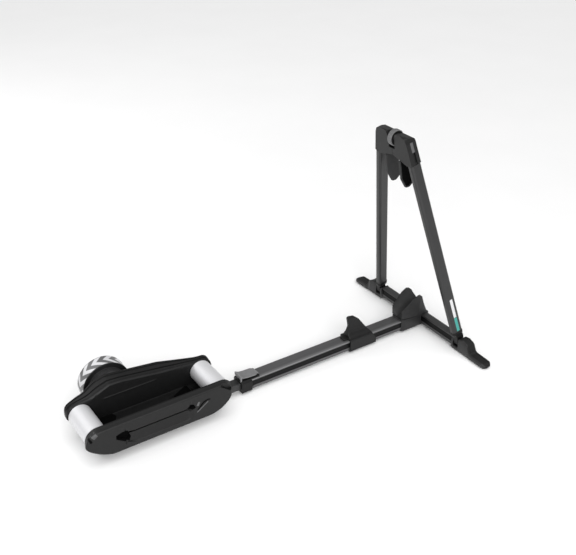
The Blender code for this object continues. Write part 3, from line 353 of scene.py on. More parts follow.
def tree_of(name):
    mat = bpy.data.materials.new(name)
    mat.use_nodes = True
    return mat, mat.node_tree


def calc(tree, kind, *values):
    return node(tree, "Math", *values, operation=kind).outputs[0]


def here_on(tree):
    """Place on the piece, metres in the row frame."""
    return node(tree, "TexCoord").outputs["Object"]


def noise(tree, scale, stretch=(1, 1, 1), detail=4.0, rough=0.55):
    """Fractal noise over the piece, stretched along its axes; the scale is per metre."""
    place = node(tree, "Mapping", here_on(tree), Scale=stretch).outputs["Vector"]
    return node(tree, "TexNoise", place, Scale=scale, Detail=detail, Roughness=rough).outputs["Fac"]


def span(tree, value, low, high, start=0.3, stop=0.7):
    """A value spread over a range."""
    return node(tree, "MapRange", value, start, stop, low, high).outputs["Result"]


def mixed(tree, share, one, two):
    """One colour or output blended into another by a share."""
    mix = node(tree, "Mix", share, data_type="RGBA")
    wire(one, mix.inputs[6])
    wire(two, mix.inputs[7])
    return mix.outputs[2]


def worn_and_highlit_edges(tree, colour, edge, amount):
    """Colour that turns lighter along edges, where the surface is convex: partly wear, partly a painted highlight
    where edges catch the light.
    """
    convex = node(tree, "NewGeometry").outputs["Pointiness"]
    return mixed(tree, span(tree, convex, 0.0, amount, 0.52, 0.62), colour, edge)


def coated(mat, colour, rough, height, depth, **fixed):
    """The material with its colour, its roughness and a bump, whose depth is in micrometres, on its shader, and
    fixed numbers on the shader's own sockets."""
    tree = mat.node_tree
    bump = node(tree, "Bump", Strength=1.0, Distance=depth * 1e-6, Height=height).outputs["Normal"]
    for key, value in {"Base Color": colour, "Roughness": rough, "Normal": bump, **fixed}.items():
        wire(value, tree.nodes["Principled BSDF"].inputs[key.replace("_", " ")])
    return mat


def finish(name, dark, light, rough, shine=0.5, metal=0.0, mottle=(60,), grain=(1400,), depth=60, spread=0.06,
           edge=None, wear=0.35, **fixed):
    """Two close colours mottled by broad noise, roughness and a fine bump from finer noise, and paler edges that are
    partly wear and partly a painted highlight.
    """
    mat, tree = tree_of(name)
    colour = mixed(tree, span(tree, noise(tree, *mottle), 0.0, 1.0), dark, light)
    if edge:
        colour = worn_and_highlit_edges(tree, colour, edge, wear)
    fine = noise(tree, *grain)
    return coated(mat, colour, span(tree, fine, rough - spread, rough + spread), fine, depth, Metallic=metal,
                  Specular_IOR_Level=shine, **fixed)


def ground_roller():
    """Bright ground steel: faint lines round the drum from noise that changes along Y alone, and a broad cloud."""
    mat, tree = tree_of("ground_roller")
    lines = noise(tree, 3.0, (2, 900, 2), 3.0, 0.6)
    broad = noise(tree, 5.0, (1, 6, 1), 2.0, 0.5)
    rough = calc(tree, "ADD", span(tree, lines, 0.48, 0.50), span(tree, broad, -0.01, 0.02))
    return coated(mat, mixed(tree, span(tree, lines, 0.0, 1.0), 215, 222), rough, lines, 2, Metallic=0.45)


def coved(name, axis, middle, reach_in, z0, z1, cove_shade_grey, highlight_grey, **how):
    """A tube's finish with painted shade in the coves along both sides and a painted highlight along one upper
    corner:
    shares from the height between z0 and z1, and from the distance to the tube's middle plane against reach_in."""
    mat = finish(name, **how)
    tree = mat.node_tree
    colour, gloss = (tree.nodes["Principled BSDF"].inputs[key] for key in ("Base Color", "Specular IOR Level"))
    axes = node(tree, "SeparateXYZ", here_on(tree)).outputs

    def along(value, low, high, start, stop):
        return span(tree, value, low, high, start * MM, stop * MM)

    off = calc(tree, "SUBTRACT", axes[axis], middle * MM)
    side = along(calc(tree, "ABSOLUTE", off), 0.0, 1.0, reach_in, reach_in + 0.5)
    # Painted shade: the coves along both sides turn to a dark grey and lose their shine.
    sunk = calc(tree, "MULTIPLY", calc(tree, "MULTIPLY", side, along(axes["Z"], 0.0, 1.0, z0 - 0.3, z0 + 0.3)),
                along(axes["Z"], 1.0, 0.0, z1 - 3.0, z1 + 1.0))
    # Painted highlight: a lighter band along the upper corner, on the -Y side of the spine and the -X side of the
    # crossbar only.
    lit = calc(tree, "MULTIPLY", along(off, 1.0, 0.0, -(reach_in + 1.0), -(reach_in - 11.0)),
               along(axes["Z"], 0.0, 1.0, z1 - 0.5, z1 + 2.0))
    wire(mixed(tree, sunk, mixed(tree, lit, colour.links[0].from_socket, highlight_grey), cove_shade_grey), colour)
    wire(span(tree, sunk, gloss.default_value, 0.1, 0.0, 1.0), gloss)
    return mat


def machined_face(fineness=1500.0):
    """Coated iron with turned rings: noise read along the distance from the flywheel's axis alone."""
    mat, tree = tree_of("machined_flywheel")
    off_axis = node(tree, "Mapping", here_on(tree), Location=(-WX * MM, 0, -WZ * MM), Scale=(1, 0, 1))
    radius = node(tree, "VectorMath", off_axis.outputs["Vector"], operation="LENGTH").outputs["Value"]
    along = node(tree, "CombineXYZ", calc(tree, "MULTIPLY", radius, fineness)).outputs[0]
    rings = node(tree, "TexNoise", along, Scale=1.0, Detail=3.0).outputs["Fac"]
    colour = mixed(tree, span(tree, rings, 0.0, 1.0), 40, 56)
    colour = worn_and_highlit_edges(tree, mixed(tree, span(tree, noise(tree, 40), 0.0, 0.25), colour, 70), 110, 0.4)
    return coated(mat, colour, span(tree, rings, 0.26, 0.42), rings, 50, Metallic=0.8)


def chevron_band(strokes=12.0, first=0.61, middle=0.56, slope=1.25):
    """Printed film round the rim: broad V strokes, from a saw of the distance round the rim plus the distance
    from the band's middle, both read from the film's own UV map."""
    mat, tree = tree_of("chevron_film")
    axes = node(tree, "SeparateXYZ", node(tree, "UVMap", uv_map="rim").outputs["UV"]).outputs
    fold = calc(tree, "ABSOLUTE", calc(tree, "SUBTRACT", axes["Y"], middle))
    turn = calc(tree, "ADD", calc(tree, "MULTIPLY", axes["X"], strokes), first)
    saw = calc(tree, "FRACT", calc(tree, "ADD", turn, calc(tree, "MULTIPLY", fold, slope)))
    stroke = node(tree, "ValToRGB", saw)
    stops = stroke.color_ramp.elements
    for at, level in ((0.0, 88), (0.03, 210), (0.47, 206), (0.50, 88), (0.97, 92), (1.0, 92)):
        stop = stops[0] if at == 0.0 else stops[-1] if at == 1.0 else stops.new(at)
        stop.color = (*grey(level), 1)
    wear = noise(tree, 350)
    colour = mixed(tree, span(tree, wear, 0.0, 0.12), stroke.outputs["Color"], 120)
    return coated(mat, colour, span(tree, wear, 0.30, 0.42), wear, 20)


def board_green():
    """Printed board: a brick pattern stands for its tracks, under a glossy mask."""
    mat, tree = tree_of("printed_board")
    tracks = node(tree, "TexBrick", here_on(tree), Scale=160.0, Color1=(0.006, 0.055, 0.022),
                  Color2=(0.010, 0.075, 0.030), Mortar=(0.03, 0.19, 0.08), **{"Mortar Size": 0.035})
    return coated(mat, tracks.outputs["Color"], span(tree, noise(tree, 300), 0.22, 0.34), tracks.outputs["Fac"], 40)


MOULDED = dict(grain=(2200,), depth=30)                       # plastic's fine mould texture
EVEN_GREY = dict(mottle=(80,), grain=(1800,), depth=40, wear=0.3)

casing_black = finish("moulded_casing", 10, 14, 0.46, 0.34, edge=44, wear=0.3)
trim_black = finish("dark_trim", 9, 13, 0.45, 0.25, edge=36, wear=0.25)
pan_black = finish("smooth_pan", 19, 23, 0.50, 0.15, grain=(700,), depth=30)
wall_black = finish("side_wall", 19, 23, 0.5, 0.25, grain=(900,))
painted_shade_black = finish("painted_shade_black", 3, 5, 0.8, 0.05)
rib_black = finish("ribbed_housing", 34, 42, 0.4, 0.4, edge=80, wear=0.4)
cradle_black = finish("cradle_plastic", 29, 35, 0.46, 0.34, edge=50, wear=0.3, **MOULDED)
chock_black = finish("chock_plastic", 13, 18, 0.5, 0.28, edge=40, wear=0.3, **MOULDED)
# The feet's strongly paler edges are a painted highlight on the lug's arc and round the rim of the sunk panel.
foot_black = finish("foot_plastic", 12, 17, 0.5, 0.3, edge=104, wear=0.9, **MOULDED)
rubber = finish("rubber", 16, 22, 0.78, 0.2, grain=(900,), depth=100, spread=0.08)
pad_grey = finish("pad_rubber", 30, 36, 0.6, 0.35, grain=(900,), edge=64, wear=0.4)
powder_black = finish("powder_coat", 18, 23, 0.36, mottle=(25,), grain=(420,), edge=70, wear=0.3)
lever_grey = finish("grey_lever", 104, 114, 0.45, edge=140, **EVEN_GREY)
patch_grey = finish("grey_patch_and_highlight", 62, 70, 0.5, edge=104, **EVEN_GREY)
wheel_grey = finish("grey_thumbwheel", 92, 102, 0.42, edge=130, **EVEN_GREY)
zinc = finish("zinc_steel", 150, 176, 0.30, metal=1.0, mottle=(300,), grain=(900, (1, 6, 1)), depth=20, edge=225,
              wear=0.4)
black_bolt = finish("black_bolt", 24, 32, 0.33, metal=0.8, mottle=(500,), grain=(1500,), depth=20, edge=90,
                    wear=0.6)
pulley_black = finish("anodised_pulley", 44, 52, 0.35, metal=0.7, mottle=(90, (1, 8, 1)), grain=(120, (1, 40, 1)),
                      depth=30)
copper = finish("wound_copper", (0.35, 0.13, 0.05), (0.55, 0.22, 0.09), 0.35, metal=0.9, mottle=(200,),
                grain=(90, (1, 30, 1)), depth=200)
window_white = finish("light_window", 196, 210, 0.25, mottle=(400,), Transmission_Weight=0.3)
sticker_white = finish("white_bar", 196, 206, 0.4, mottle=(300,), depth=10)
sticker_teal = finish("teal_bar", (0.035, 0.27, 0.235), (0.045, 0.30, 0.26), 0.4, mottle=(300,), depth=10)
# Both tubes: painted shade in the side coves, and a painted highlight along one upper corner.
spine_black = coved("anodised_spine", "Y", 0.0, 21.5, 24.4, 46.5, 30, 132, dark=74, light=86, rough=0.36, metal=0.6,
                    mottle=(30, (0.2, 6, 6)), grain=(60, (0.6, 30, 30)), depth=20, edge=120)
cross_black = coved("coated_crossbar", "X", CX, 11.0, 26.4, 48.5, 12, 44, dark=34, light=40, rough=0.36,
                    mottle=(25,), grain=(420,), edge=70, wear=0.3)

# Solids that stay as they are and get their finish here
for look, names in (
        (trim_black, ["near_side_plate"]), (pan_black, ["base_chassis"]), (board_green(), ["circuit_board"]),
        (copper, ["brake_stator"]), (window_white, ["status_light"]),
        (pulley_black, ["flywheel_pulley", "rear_pulley", "front_pulley"]),
        (rubber, ["outer_tube_glide", "inner_tube_glide", "drive_belt", "near_foot_sole", "far_foot_sole"]),
        (zinc, ["clamp_shoe", "lever_pin", "idler_pulley", "idler_pin", "rear_axle", "front_axle", "flywheel_shaft",
                "flywheel_inner_bearing", "flywheel_outer_bearing",
                *(end + "_" + side + "_bearing" for end in ("rear", "front") for side, _ in SIDES)])):
    for name in names:
        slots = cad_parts[name].data.materials
        for k in range(len(slots)):
            slots[k] = look
        if not len(slots):
            slots.append(look)


# Rear unit: the handle-side casing

def section(at, y, height):
    """Points along a casing at y; at gives x and the lower and upper edge there, height turns these into z."""
    x, low, top = at(y)
    return np.stack([x, np.broadcast_to(y, x.shape), height(low, top)], -1)


def corner_sections(at, face, r, inward, most, upper):
    """Sections round a casing's outer corner: a quarter circle of radius r, flatter where r passes a share of the
    casing's height; the upper corner runs in from the face, the lower one out to it."""
    out = []
    for angle in np.linspace(0, np.pi / 2, 7):
        back, rise = 1 - math.sin(angle), 1 - math.cos(angle)
        if upper:
            back, rise = rise, back
        out.append(section(at, face + inward * r * back, lambda low, top: (
            (top if upper else low) - (1 if upper else -1) * np.minimum(r, (top - low) * most) * rise)))
    return out


def pod_heights(x, t):
    """Lower and upper edge of the handle-side casing at x, for a share t of the way out: level lines that turn into
    quarters at both ends.  A quarter's height is its reach times (1 - (distance / length) ** (2 / p)) ** (p / 2),
    which is an ellipse for p = 1 and flattens into a slope as p grows."""
    def quarter(far, length, power):
        return (1 - np.clip(far / length, 0, 1) ** (2 / power)) ** (power / 2)

    top = quarter(RX + 5 * t - x, 42 + 14 * t, 1.0) * quarter(x - FX + 15 * t, 43 - t, 1.0)
    low = quarter(RX + 40 - x, 82 + 9 * t, 1.45) * quarter(x - FX + 60.8, 103.8 - 16 * t, 1.1)
    return AXIS_Z - 59.0 * low, AXIS_Z + 44.0 * top


def hook_profile(lip, foot, deep, ledge, slope):
    """Points (y, z) down the front of the casing where the hand goes in: the bar's rounded lower edge, the space
    behind it, a narrow ledge, and the sloping face below."""
    line = rounded([(-100, 126, 0), (-100, lip, 4.1), (-91.6, lip, 4.1), (-91.6, 117, 2), (deep, 117, 3),
                    (deep, 85, 1.5), (ledge, 85, 1.2), (slope, foot + 2, 5), (-100, foot, 1.5), (-100, 42.5, 0)],
                   5, closed=False)
    return line[::-1]


def near_casing(out=0.0):
    """Sections across the casing carried along X: each point takes the height of its own share of the way out,
    outer corners are round, and the hand recess is eased in by windows."""
    r, rear_tip, front_tip = 5.2, RX - 42, FX + 43
    s = stations(end_stations(rear_tip, RX, 16), end_stations(front_tip, FX, 16), np.linspace(RX, RX + 48, 9),
                 np.linspace(RX + 48, RX + 104, 45), np.linspace(RX + 104, RX + 296, 25),
                 np.linspace(RX + 296, RX + 336, 31), np.linspace(RX + 336, FX, 16))
    face = -100.0 + drawn_in(np.minimum(s - rear_tip, front_tip - s), r)

    def at(y):
        t = np.clip((-y - PLATE_IN) / 29, 0, 1)
        x = s - t * (9 * (1 - smooth(s, rear_tip, RX + 40)) + 16 * smooth(s, FX - 50, front_tip))
        return (x, *pod_heights(x, t))

    _, low, top = at(face)
    near = np.minimum(r, (top - low) * 0.49)
    z0, z1 = low + near, top - near
    rear = 1 - smooth(s, RX + 90, RX + 112)
    front = smooth(s, RX + 292, RX + 310)
    hook = sum(hook_profile(*how)[:, None] * share[:, None] for share, how in (
        (1 - rear - front, (96.0, 52.0, -80.0, -89.5, -97.0)), (rear, (100.0, 60.0, -80.0, -88.0, -94.0)),
        (front, (101.0, 54.0, -82.0, -89.5, -96.0))))
    rise = np.linspace(0, 1, len(hook))[:, None]
    flat = np.stack(np.broadcast_arrays(face, z0 + rise * (z1 - z0)), -1)
    open_here = smooth(s, RX + 78, RX + 84) * (1 - smooth(s, RX + 298, RX + 320))
    front_face = flat * (1 - open_here)[:, None] + hook * open_here[:, None]
    rows = [section(at, -PLATE_OUT, lambda low, top: low), *corner_sections(at, face, r, 1, 0.49, False)]
    rows += [np.stack([at(y)[0] * (1 - open_here) + s * open_here, y, z], -1)
             for y, z in np.moveaxis(front_face, -1, 1)]
    rows += [*corner_sections(at, face, r, 1, 0.49, True), section(at, -PLATE_OUT, lambda low, top: top)]
    return shell(np.array(rows).transpose(1, 0, 2) - (0, out, 0))


def crossing(corners, y0=-106.0, y1=-88.0):
    """A straight prism through the casing's near face, its outline (x past the rear axis, z)."""
    return slab(rounded([(RX + u, v, 1.5) for u, v in corners], 3), "Y", y0, y1, 0)


rear_slot = crossing([(-33.3, 108), (-25.9, 111), (-40, 148), (-47.6, 145)])
front_slot = crossing([(420, 133), (432, 150), (470, 122), (456, 106)], -106, -90)
REAR_POCKET = [(48, 88), (50, 102), (70, 108), (88, 107), (101, 74), (93, 61), (73, 71)]
FRONT_POCKET = [(284, 92), (292, 97), (304, 107), (320, 107), (327, 91), (314, 85.5)]
near_pod = carved([near_casing()], [rear_slot, front_slot, crossing(REAR_POCKET, -106, -80),
                                    crossing(FRONT_POCKET, -106, -82)])
piece("near_casing_shell", [near_pod], casing_black, "base_unit", "near_casing_cover")
# Painted shade: near-black sheets on the pockets' floors, a thin dark line for a shallow pocket's shaded wall,
# and two patches where shade shows through the floor pan's openings
shade_sheets = [crossing(REAR_POCKET, -83.2, -80.6), crossing(FRONT_POCKET, -85, -82.6),
          crossing([(331, 80), (334, 78), (350, 91), (357, 98), (372, 103), (380, 101), (381, 105), (372, 108),
                    (355, 104), (346, 96)], -100.25, -99)]
shade_sheets += [slab(rounded([(RX + u, v, 3) for u, v in corners], 3), "Z", 51.0, 52.6, 0) for corners in (
    [(60, 26), (100, 26), (113, 50), (106, 69), (60, 69)], [(312, 38), (372, 69), (379, 69), (379, 26), (330, 26)])]
# Painted highlights: a light grey spot at the slanted end of the front pocket, and a thin raised rib coloured light
# for the lit lower wall of a shallow pocket.
highlight_spots = [crossing([(329, 96), (336, 109), (343, 108), (337, 93)], -100.3, -99),
         crossing([(328.5, 72), (332, 69.5), (373, 97), (371, 100)], -100.8, -99)]
piece("near_casing_highlights", highlight_spots, patch_grey, "base_unit")
piece("painted_shade_sheets", shade_sheets, painted_shade_black, "base_unit")

# Grey block end beside the rear slot, wrapped over the casing's rounded edge
end_patch = carved([near_casing(0.1)], [crossing([(-20.5, 119), (-7.0, 128), (-25, 155), (-42, 146)], -104, -84)],
                   "INTERSECT")
piece("near_block_end", [end_patch], patch_grey, "base_unit")


# Rear unit: the belt case

CASE_IN = [(-43, 37.5, 40), (-43, 128, 30), (40, 135, 40), (108, 164, 20), (150, 163, 20), (290, 141, 60),
           (425, 128, 25), (480, 128, 40), (480, 37.5, 42)]
CASE_OFF = [(-40, 40.5, 40), (-40, 129, 32), (14, 163, 70), (110, 181, 24), (152, 176, 24), (300, 157, 60),
            (433, 139, 25), (479, 135, 43), (479, 40.5, 42)]


def case_profile():
    """Stations along the belt case; at(y) gives x and the lower and upper edge there, blended between the inner
    and the outer outline by the share of the way out."""
    share = stations(end_stations(0, 0.09, 16), end_stations(1, 0.91, 16), np.linspace(0.09, 0.91, 110))
    far = []
    for corners in (CASE_IN, CASE_OFF):
        rear_end, front_end = corners[0][0], corners[-1][0]
        x = rear_end + (front_end - rear_end) * np.clip(share, 1e-5, 1 - 1e-5)
        far.append((x + RX, *reach(rounded(corners, 14)[:, ::-1], x)))

    def at(y):
        t = (y - PLATE_IN) / 45
        x, low, top = (a + (b - a) * t for a, b in zip(*far))
        slim = (1 - np.clip((RX + 40 - x) / 83, 0, 1) ** 1.379) ** 0.725
        return x, np.minimum(np.maximum(low, AXIS_Z - 56.5 * slim), top - 8), top

    return far[0][0], at


def belt_case():
    """Sections across the case carried along X: a chamfer, then three bands on the sloping top flange with narrow
    grooves between them, and soft outer edges."""
    s, at = case_profile()
    r = 5.5
    outer = np.interp(s, [RX + 16, RX + 30, RX + 64, RX + 76, RX + 296, RX + 430, RX + 446],
                      [99.0, 102.0, 114.5, 117.5, 117.5, 100.2, 99.0])
    face = outer - drawn_in(np.minimum(s - s[0], s[-1] - s), r)
    _, low, top = at(face)
    deep = np.minimum(1.0, (top - low) * 0.02)
    rows = [section(at, PLATE_OUT, lambda low, top: low)]
    rows += corner_sections(at, face, r, -1, 0.45, False) + corner_sections(at, face, r, -1, 0.45, True)
    for share, dip in ((0.80, 0.0), (0.77, 3.4), (0.68, 3.0), (0.65, 0.0), (0.38, 0.0), (0.36, 3.6), (0.28, 2.6),
                       (0.26, 0.8), (0.10, 1.6), (0.0, 0.0)):
        rows.append(section(at, PLATE_OUT + share * (face - PLATE_OUT), lambda low, top: top - dip * deep))
    return shell(np.array(rows).transpose(1, 0, 2))


far_pod = carved([belt_case()], [bore(10, 100, 125, WX, WZ, 48), bore(6.4, 100, 125, *INLET),
                                 slab(bar(6.4, 81.6, 86.4, 1.2, 3) + (RX + 243, 0), "Y", 100, 125, 0)])
piece("belt_case_shell", [far_pod], trim_black, "base_unit", "belt_case_cover")


def inner_wall():
    """Far side wall: sections of (y, z) along X; a long ridge stands out above the floor pan, a panel ends short of
    the front roller, and the top edge is chamfered towards the flange."""
    s, at = case_profile()
    ridge = window(s, RX + 84, RX + 272, 8.0)
    panel = window(s, RX + 60, RX + 376, 2.0)
    rows = []
    for z_at, out, lean in ((0.0, 1.2, 0), (0.04, 0, 0), (0.5, 0, 0), (0.55, 0, 0), (116.0, 0, 0), (119.0, 1.5, 1),
                            (121.5, 1.6, 1), (123.0, 0.5, 1), (125.0, 0, 0)):
        row = section(at, PLATE_IN, lambda low, top: (
            low + z_at * (top - low) if z_at < 1 else np.minimum(z_at, top - 131 + z_at)))
        row[:, 1] -= (out * ridge if lean else -out) + (0.7 * panel if z_at > 0.02 else 0)
        rows.append(row)
    for y, drop in ((PLATE_IN, 3.0), (73.8, 0.3), (76.0, 0.2)):
        rows.append(section(at, y, lambda low, top: top - np.minimum(drop, (top - low) * 0.1)))
    rows.append(section(at, 76.0, lambda low, top: low + 0.2))
    return shell(np.array(rows).transpose(1, 0, 2))


wall = carved([inner_wall()], [bore(14.3, 64, 90, x, AXIS_Z, 40) for x in (RX, FX)])
boss = turned([(14.3, 76), (19, 76), (19, 79.0), (18.4, 79.6), (14.3, 79.6)], WX, WZ, 48, ring=True)
piece("far_wall_shell", [wall, boss], wall_black, "base_unit", "far_side_plate")

# Floor pan: a rounded rim round a sunk middle
pan_outline = rounded([(RX + 54, -70.6, 4), (FX - 53.8, -70.6, 4), (FX - 53.8, 70.6, 4), (RX + 54, 70.6, 4)], 4)
pan = shell([placed(grown(pan_outline, d), "Z", z) for d, z in (
    (-1.2, 49.4), (0, 50.2), (0, 51.8), (-0.8, 52.4), (-4.0, 52.4), (-5.2, 51.2))])
piece("floor_pan_shell", [pan], pan_black, "base_unit", "floor_pan")

# Rollers: hollow drums, whose profile runs from the bore over a stepped end cap and a rolled edge, mirrored in Y
drum_end = points((7.8, 66.6), (13.5, 66.6), (14.5, 67.4), (15.5, 68.9), (17.0, 69.3), (30.5, 69.3), (31.2, 68.6),
                  (32.6, 68.6), (33.4, 69.3), (36.2, 69.75), (37.3, 69.5), (38.1, 68.7), (38.4, 67.6))
drum_line = np.concatenate([drum_end, drum_end[::-1] * (1, -1),
                            points((7.8, -62.0), (35.0, -62.0), (35.0, 62.0), (7.8, 62.0))])
roller_steel = ground_roller()
for end, x in (("rear", RX), ("front", FX)):
    piece(end + "_roller_drum", [turned(drum_line, x, AXIS_Z, 112, ring=True)], roller_steel, end + "_roller_set",
          end + "_roller", sharp=40)

# Flywheel: rim with a raised outer ring, dished web, and hub
wheel_line = rounded([(61.5, 147.2, 0), (81.8, 147.2, 1.2), (82.7, 149, 1.5), (82.7, 197, 1.5), (81.2, 198.8, 1.5),
                      (63.0, 198.8, 1.0), (58.5, 195.6, 2.0), (52, 195.2, 1), (50, 194.2, 1), (30, 193.8, 1),
                      (26.5, 196.0, 2), (22.5, 196.2, 1), (21.5, 198.8, 0.8), (7.9, 198.8, 0), (7.9, 181.2, 0),
                      (19.6, 181.2, 1), (20, 186.2, 2), (61.5, 186.2, 3)], 4)
piece("flywheel_casting", [turned(wheel_line, WX, WZ, 144, ring=True)], machined_face(), "flywheel_set",
      "flywheel")


def film(lo=150.5, hi=195.5):
    """Thin sleeve round the rim; its UV map holds the share of the turn, from the angle about the axis, and the
    share across the band."""
    profile = [(82.75, lo), (82.98, lo + 0.3), (82.98, hi - 0.3), (82.75, hi), (82.4, hi - 0.3), (82.4, lo + 0.3)]
    mesh = piece("flywheel_chevron_film", [turned(profile, WX, WZ, 144, ring=True)], chevron_band(), "flywheel_set").data
    co = np.zeros(len(mesh.vertices) * 3, np.float32)
    mesh.vertices.foreach_get("co", co)
    loops = np.zeros(len(mesh.loops), np.int32)
    mesh.loops.foreach_get("vertex_index", loops)
    x, y, z = (co.reshape(-1, 3) / MM)[loops].T
    turn = (np.arctan2(z - WZ, x - WX) / (2 * np.pi)) % 1.0
    last = np.repeat(turn.reshape(-1, 4).max(1), 4)          # every face has four corners
    turn = np.where(last - turn > 0.5, turn + 1.0, turn)     # the face that closes the turn
    layer = mesh.uv_layers.new(name="rim")
    layer.data.foreach_set("uv", np.stack([turn, (y - lo) / (hi - lo)], 1).astype(np.float32).ravel())


film()

# Brake housing: stepped drum with cooling ribs that run round it
brake_ribs = [(r, y + d) for y in np.arange(119.5, 141.0, 4.0)
              for r, d in ((67.8, 0.0), (67.8, 1.6), (65.6, 2.0), (65.6, 3.7))]
brake_back = rounded([(14.4, 122.0, 0), (10, 122.0, 0), (10, 116.6, 0), (62, 116.6, 1), (66.6, 117.6, 1)], 3,
                     closed=False)[:-1]
brake_front = [(67.8, 143.5), (67.8, 145.8), (64.6, 145.8), (64.6, 121.6), (19.4, 121.6), (19.4, 131.8),
               (14.4, 131.8)]
housing = turned(np.concatenate([brake_back, brake_ribs, brake_front]), WX, WZ, 144, ring=True)
piece("brake_housing_shell", [housing], rib_black, "base_unit", "brake_housing")

# Power inlet: a round socket with its centre pin
inlet = turned(rounded([(3.0, 104.2, 0), (6.0, 104.2, 0.4), (6.0, 116.5, 0), (7.6, 116.5, 0), (7.6, 117.2, 0.4),
                        (3.6, 117.6, 0.3), (3.0, 116.8, 0.3)], 2), *INLET, 48, ring=True)
piece("power_inlet_socket", [inlet], rubber, "base_unit", "power_inlet")
pin = turned([(0, 104.5), (0.9, 104.5), (0.9, 115.0), (0.4, 115.8), (0, 115.8)], *INLET, 20)
piece("power_inlet_pin", [pin, bore(2.9, 104.3, 105.0, *INLET, 24)], zinc, "base_unit")

# Flywheel nut with a washer face and chamfered corners
nut = carved([slab(disc(0, 0, 13, 6) + (WX, WZ), "Y", 200.2, 206, 0.7, 2)], [bore(7.8, 190, 210, WX, WZ, 40)])
washer = turned(rounded([(7.9, 199.4, 0), (12.6, 199.4, 0.3), (12.6, 200.4, 0.3), (7.9, 200.4, 0)], 2), WX, WZ, 48,
                ring=True)
piece("flywheel_nut_and_washer", [nut, washer], zinc, "flywheel_set", "flywheel_nut")


# Spine

def channel(half, z0, z1, dip, r, lip=1.6):
    """Extruded section with one shallow groove along each side."""
    a, b = z0 + (z1 - z0) * 0.34, z0 + (z1 - z0) * 0.876
    right = [(half, z0, min(r, 4.0)), (half, a, 0.7), (half - dip, a + 2.0, 0.7), (half - dip, b - 3.5, lip),
             (half, b + 1.0, lip), (half, z1, r)]
    return rounded(right + [(-u, v, c) for u, v, c in reversed(right)], 4)


inner = pipe(bar(18.8, 19.5, 45.5, 3), bar(16.3, 22, 43, 1.5), "X", RX + 311.5, RX + 980)
piece("inner_spine_bar", [inner], powder_black, "base_unit", "inner_tube")
outer = carved([pipe(channel(25.6, 11, 50, 2.6, 6.5), channel(21.2, 13.5, 47.5, 0.4, 2.0, 0.3), "X", SX, CX - 15.3)],
               [slab(bar(12.4, 44, 60, 1), "X", LEVER_X - 6.5, LEVER_X + 6.5, 0.2, 1)])
piece("outer_spine_bar", [outer], spine_black, "front_frame", "outer_tube")

# Collar with its wedge, lugs and screws
collar_line = rounded([(-28.4, 8.6, 3), (-28.4, 46, 1.5), (-23, 55, 3), (23, 55, 3), (28.4, 46, 1.5),
                       (28.4, 8.6, 3)], 5)
collar = carved([slab(collar_line, "X", SX - 4.6, SX + 37.4, 1.4, 3)],
                [slab(bar(19.1, 19.2, 45.8, 3), "X", SX - 20, SX + 60, 0),
                 slab(bar(26, 10.6, 50.4, 2.5), "X", SX - 0.4, SX + 60, 0)], soften=0.6)
wedge = slab(rounded([(SX - 3.6, 52, 0), (SX - 3.6, 67.6, 1.5), (SX + 6.4, 61.6, 1), (SX + 36.9, 59, 0),
                      (SX + 36.9, 52, 0)], 3), "Y", -17, 17, 1.2, 3)
lug_line = rounded([(SX + 28.4, 51, 0), (SX + 28.4, 53.5, 0), (LEVER_X - 6.5, 54, 0), (LEVER_X - 5.5, 60.6, 5),
                    (LEVER_X + 4.4, 60.6, 5), (LEVER_X + 4.4, 51, 0)], 5)
lugs = [slab(lug_line, "Y", s * 16.4, s * 21.0, 0.7, 2) for _, s in SIDES]
screw = turned([(0, -27), (1.3, -27), (2.4, -26.6), (2.4, -25), (0, -25)], SX + 40.5, 23, 20)
piece("spine_screws", [screw, on_side(screw, -1)], black_bolt, "front_frame")
piece("collar_body", [collar, wedge, *lugs], trim_black, "front_frame", "spine_collar")


def lever_plate():
    """Sections across the plate carried along X: the top dips between a raised rear lip and the nose, the sides
    draw in along arcs at the nose, and the underside hollows behind the lip."""
    x = stations(end_stations(-71.5, -68, 6), end_stations(0, -3.5, 6), np.linspace(-68, -3.5, 22),
                 np.linspace(-10, 0, 12))
    top = np.interp(x, [-71.5, -70, -66, -60, -50, -40, -8, -2, 0],
                    [17.4, 18.6, 16.4, 12.9, 10.2, 9.0, 7.6, 6.9, 5.4])
    low = np.interp(x, [-71.5, -68.5, -66.5, -60, -40, -12, 0], [7.0, 7.0, 11.4, 8.2, 4.8, 3.6, 3.4])
    nose_in = np.sqrt(np.clip(1 - ((x + 17) / 17.6).clip(0) ** 3.4, 0.05, 1))
    half = np.minimum(np.interp(x, [-71.5, -17], [21.4, 21.9]), 21.9 * nose_in) - drawn_in(x + 71.5, 3.5)
    return lofted("X", x + LEVER_X, -half, half, low + LEVER_Z, top + LEVER_Z, 1.3, 4)


prong = slab(rounded([(LEVER_X - 71.3, 66, 0), (LEVER_X - 71.3, 51.5, 2), (LEVER_X - 66.5, 52.5, 1.5),
                      (LEVER_X - 64.5, 68, 0)], 3), "Y", -21.3, -17.6, 0.9, 2)
nose = turned([(2.8, -15.8), (5.6, -15.8), (6.0, -15.4), (6.0, 15.4), (5.6, 15.8), (2.8, 15.8)],
              LEVER_X, LEVER_Z, 40, ring=True)
web = slab(bar(3.6, LEVER_Z + 1.5, LEVER_Z + 6.2, 0.5, 2) + (LEVER_X - 7.4, 0), "Y", -15.6, 15.6, 0.4, 2)
piece("cam_lever_plate", [lever_plate(), nose, web, prong], lever_grey, "spine_lever", "cam_lever")


# Small chock: sleeve, and a fin that flares into it

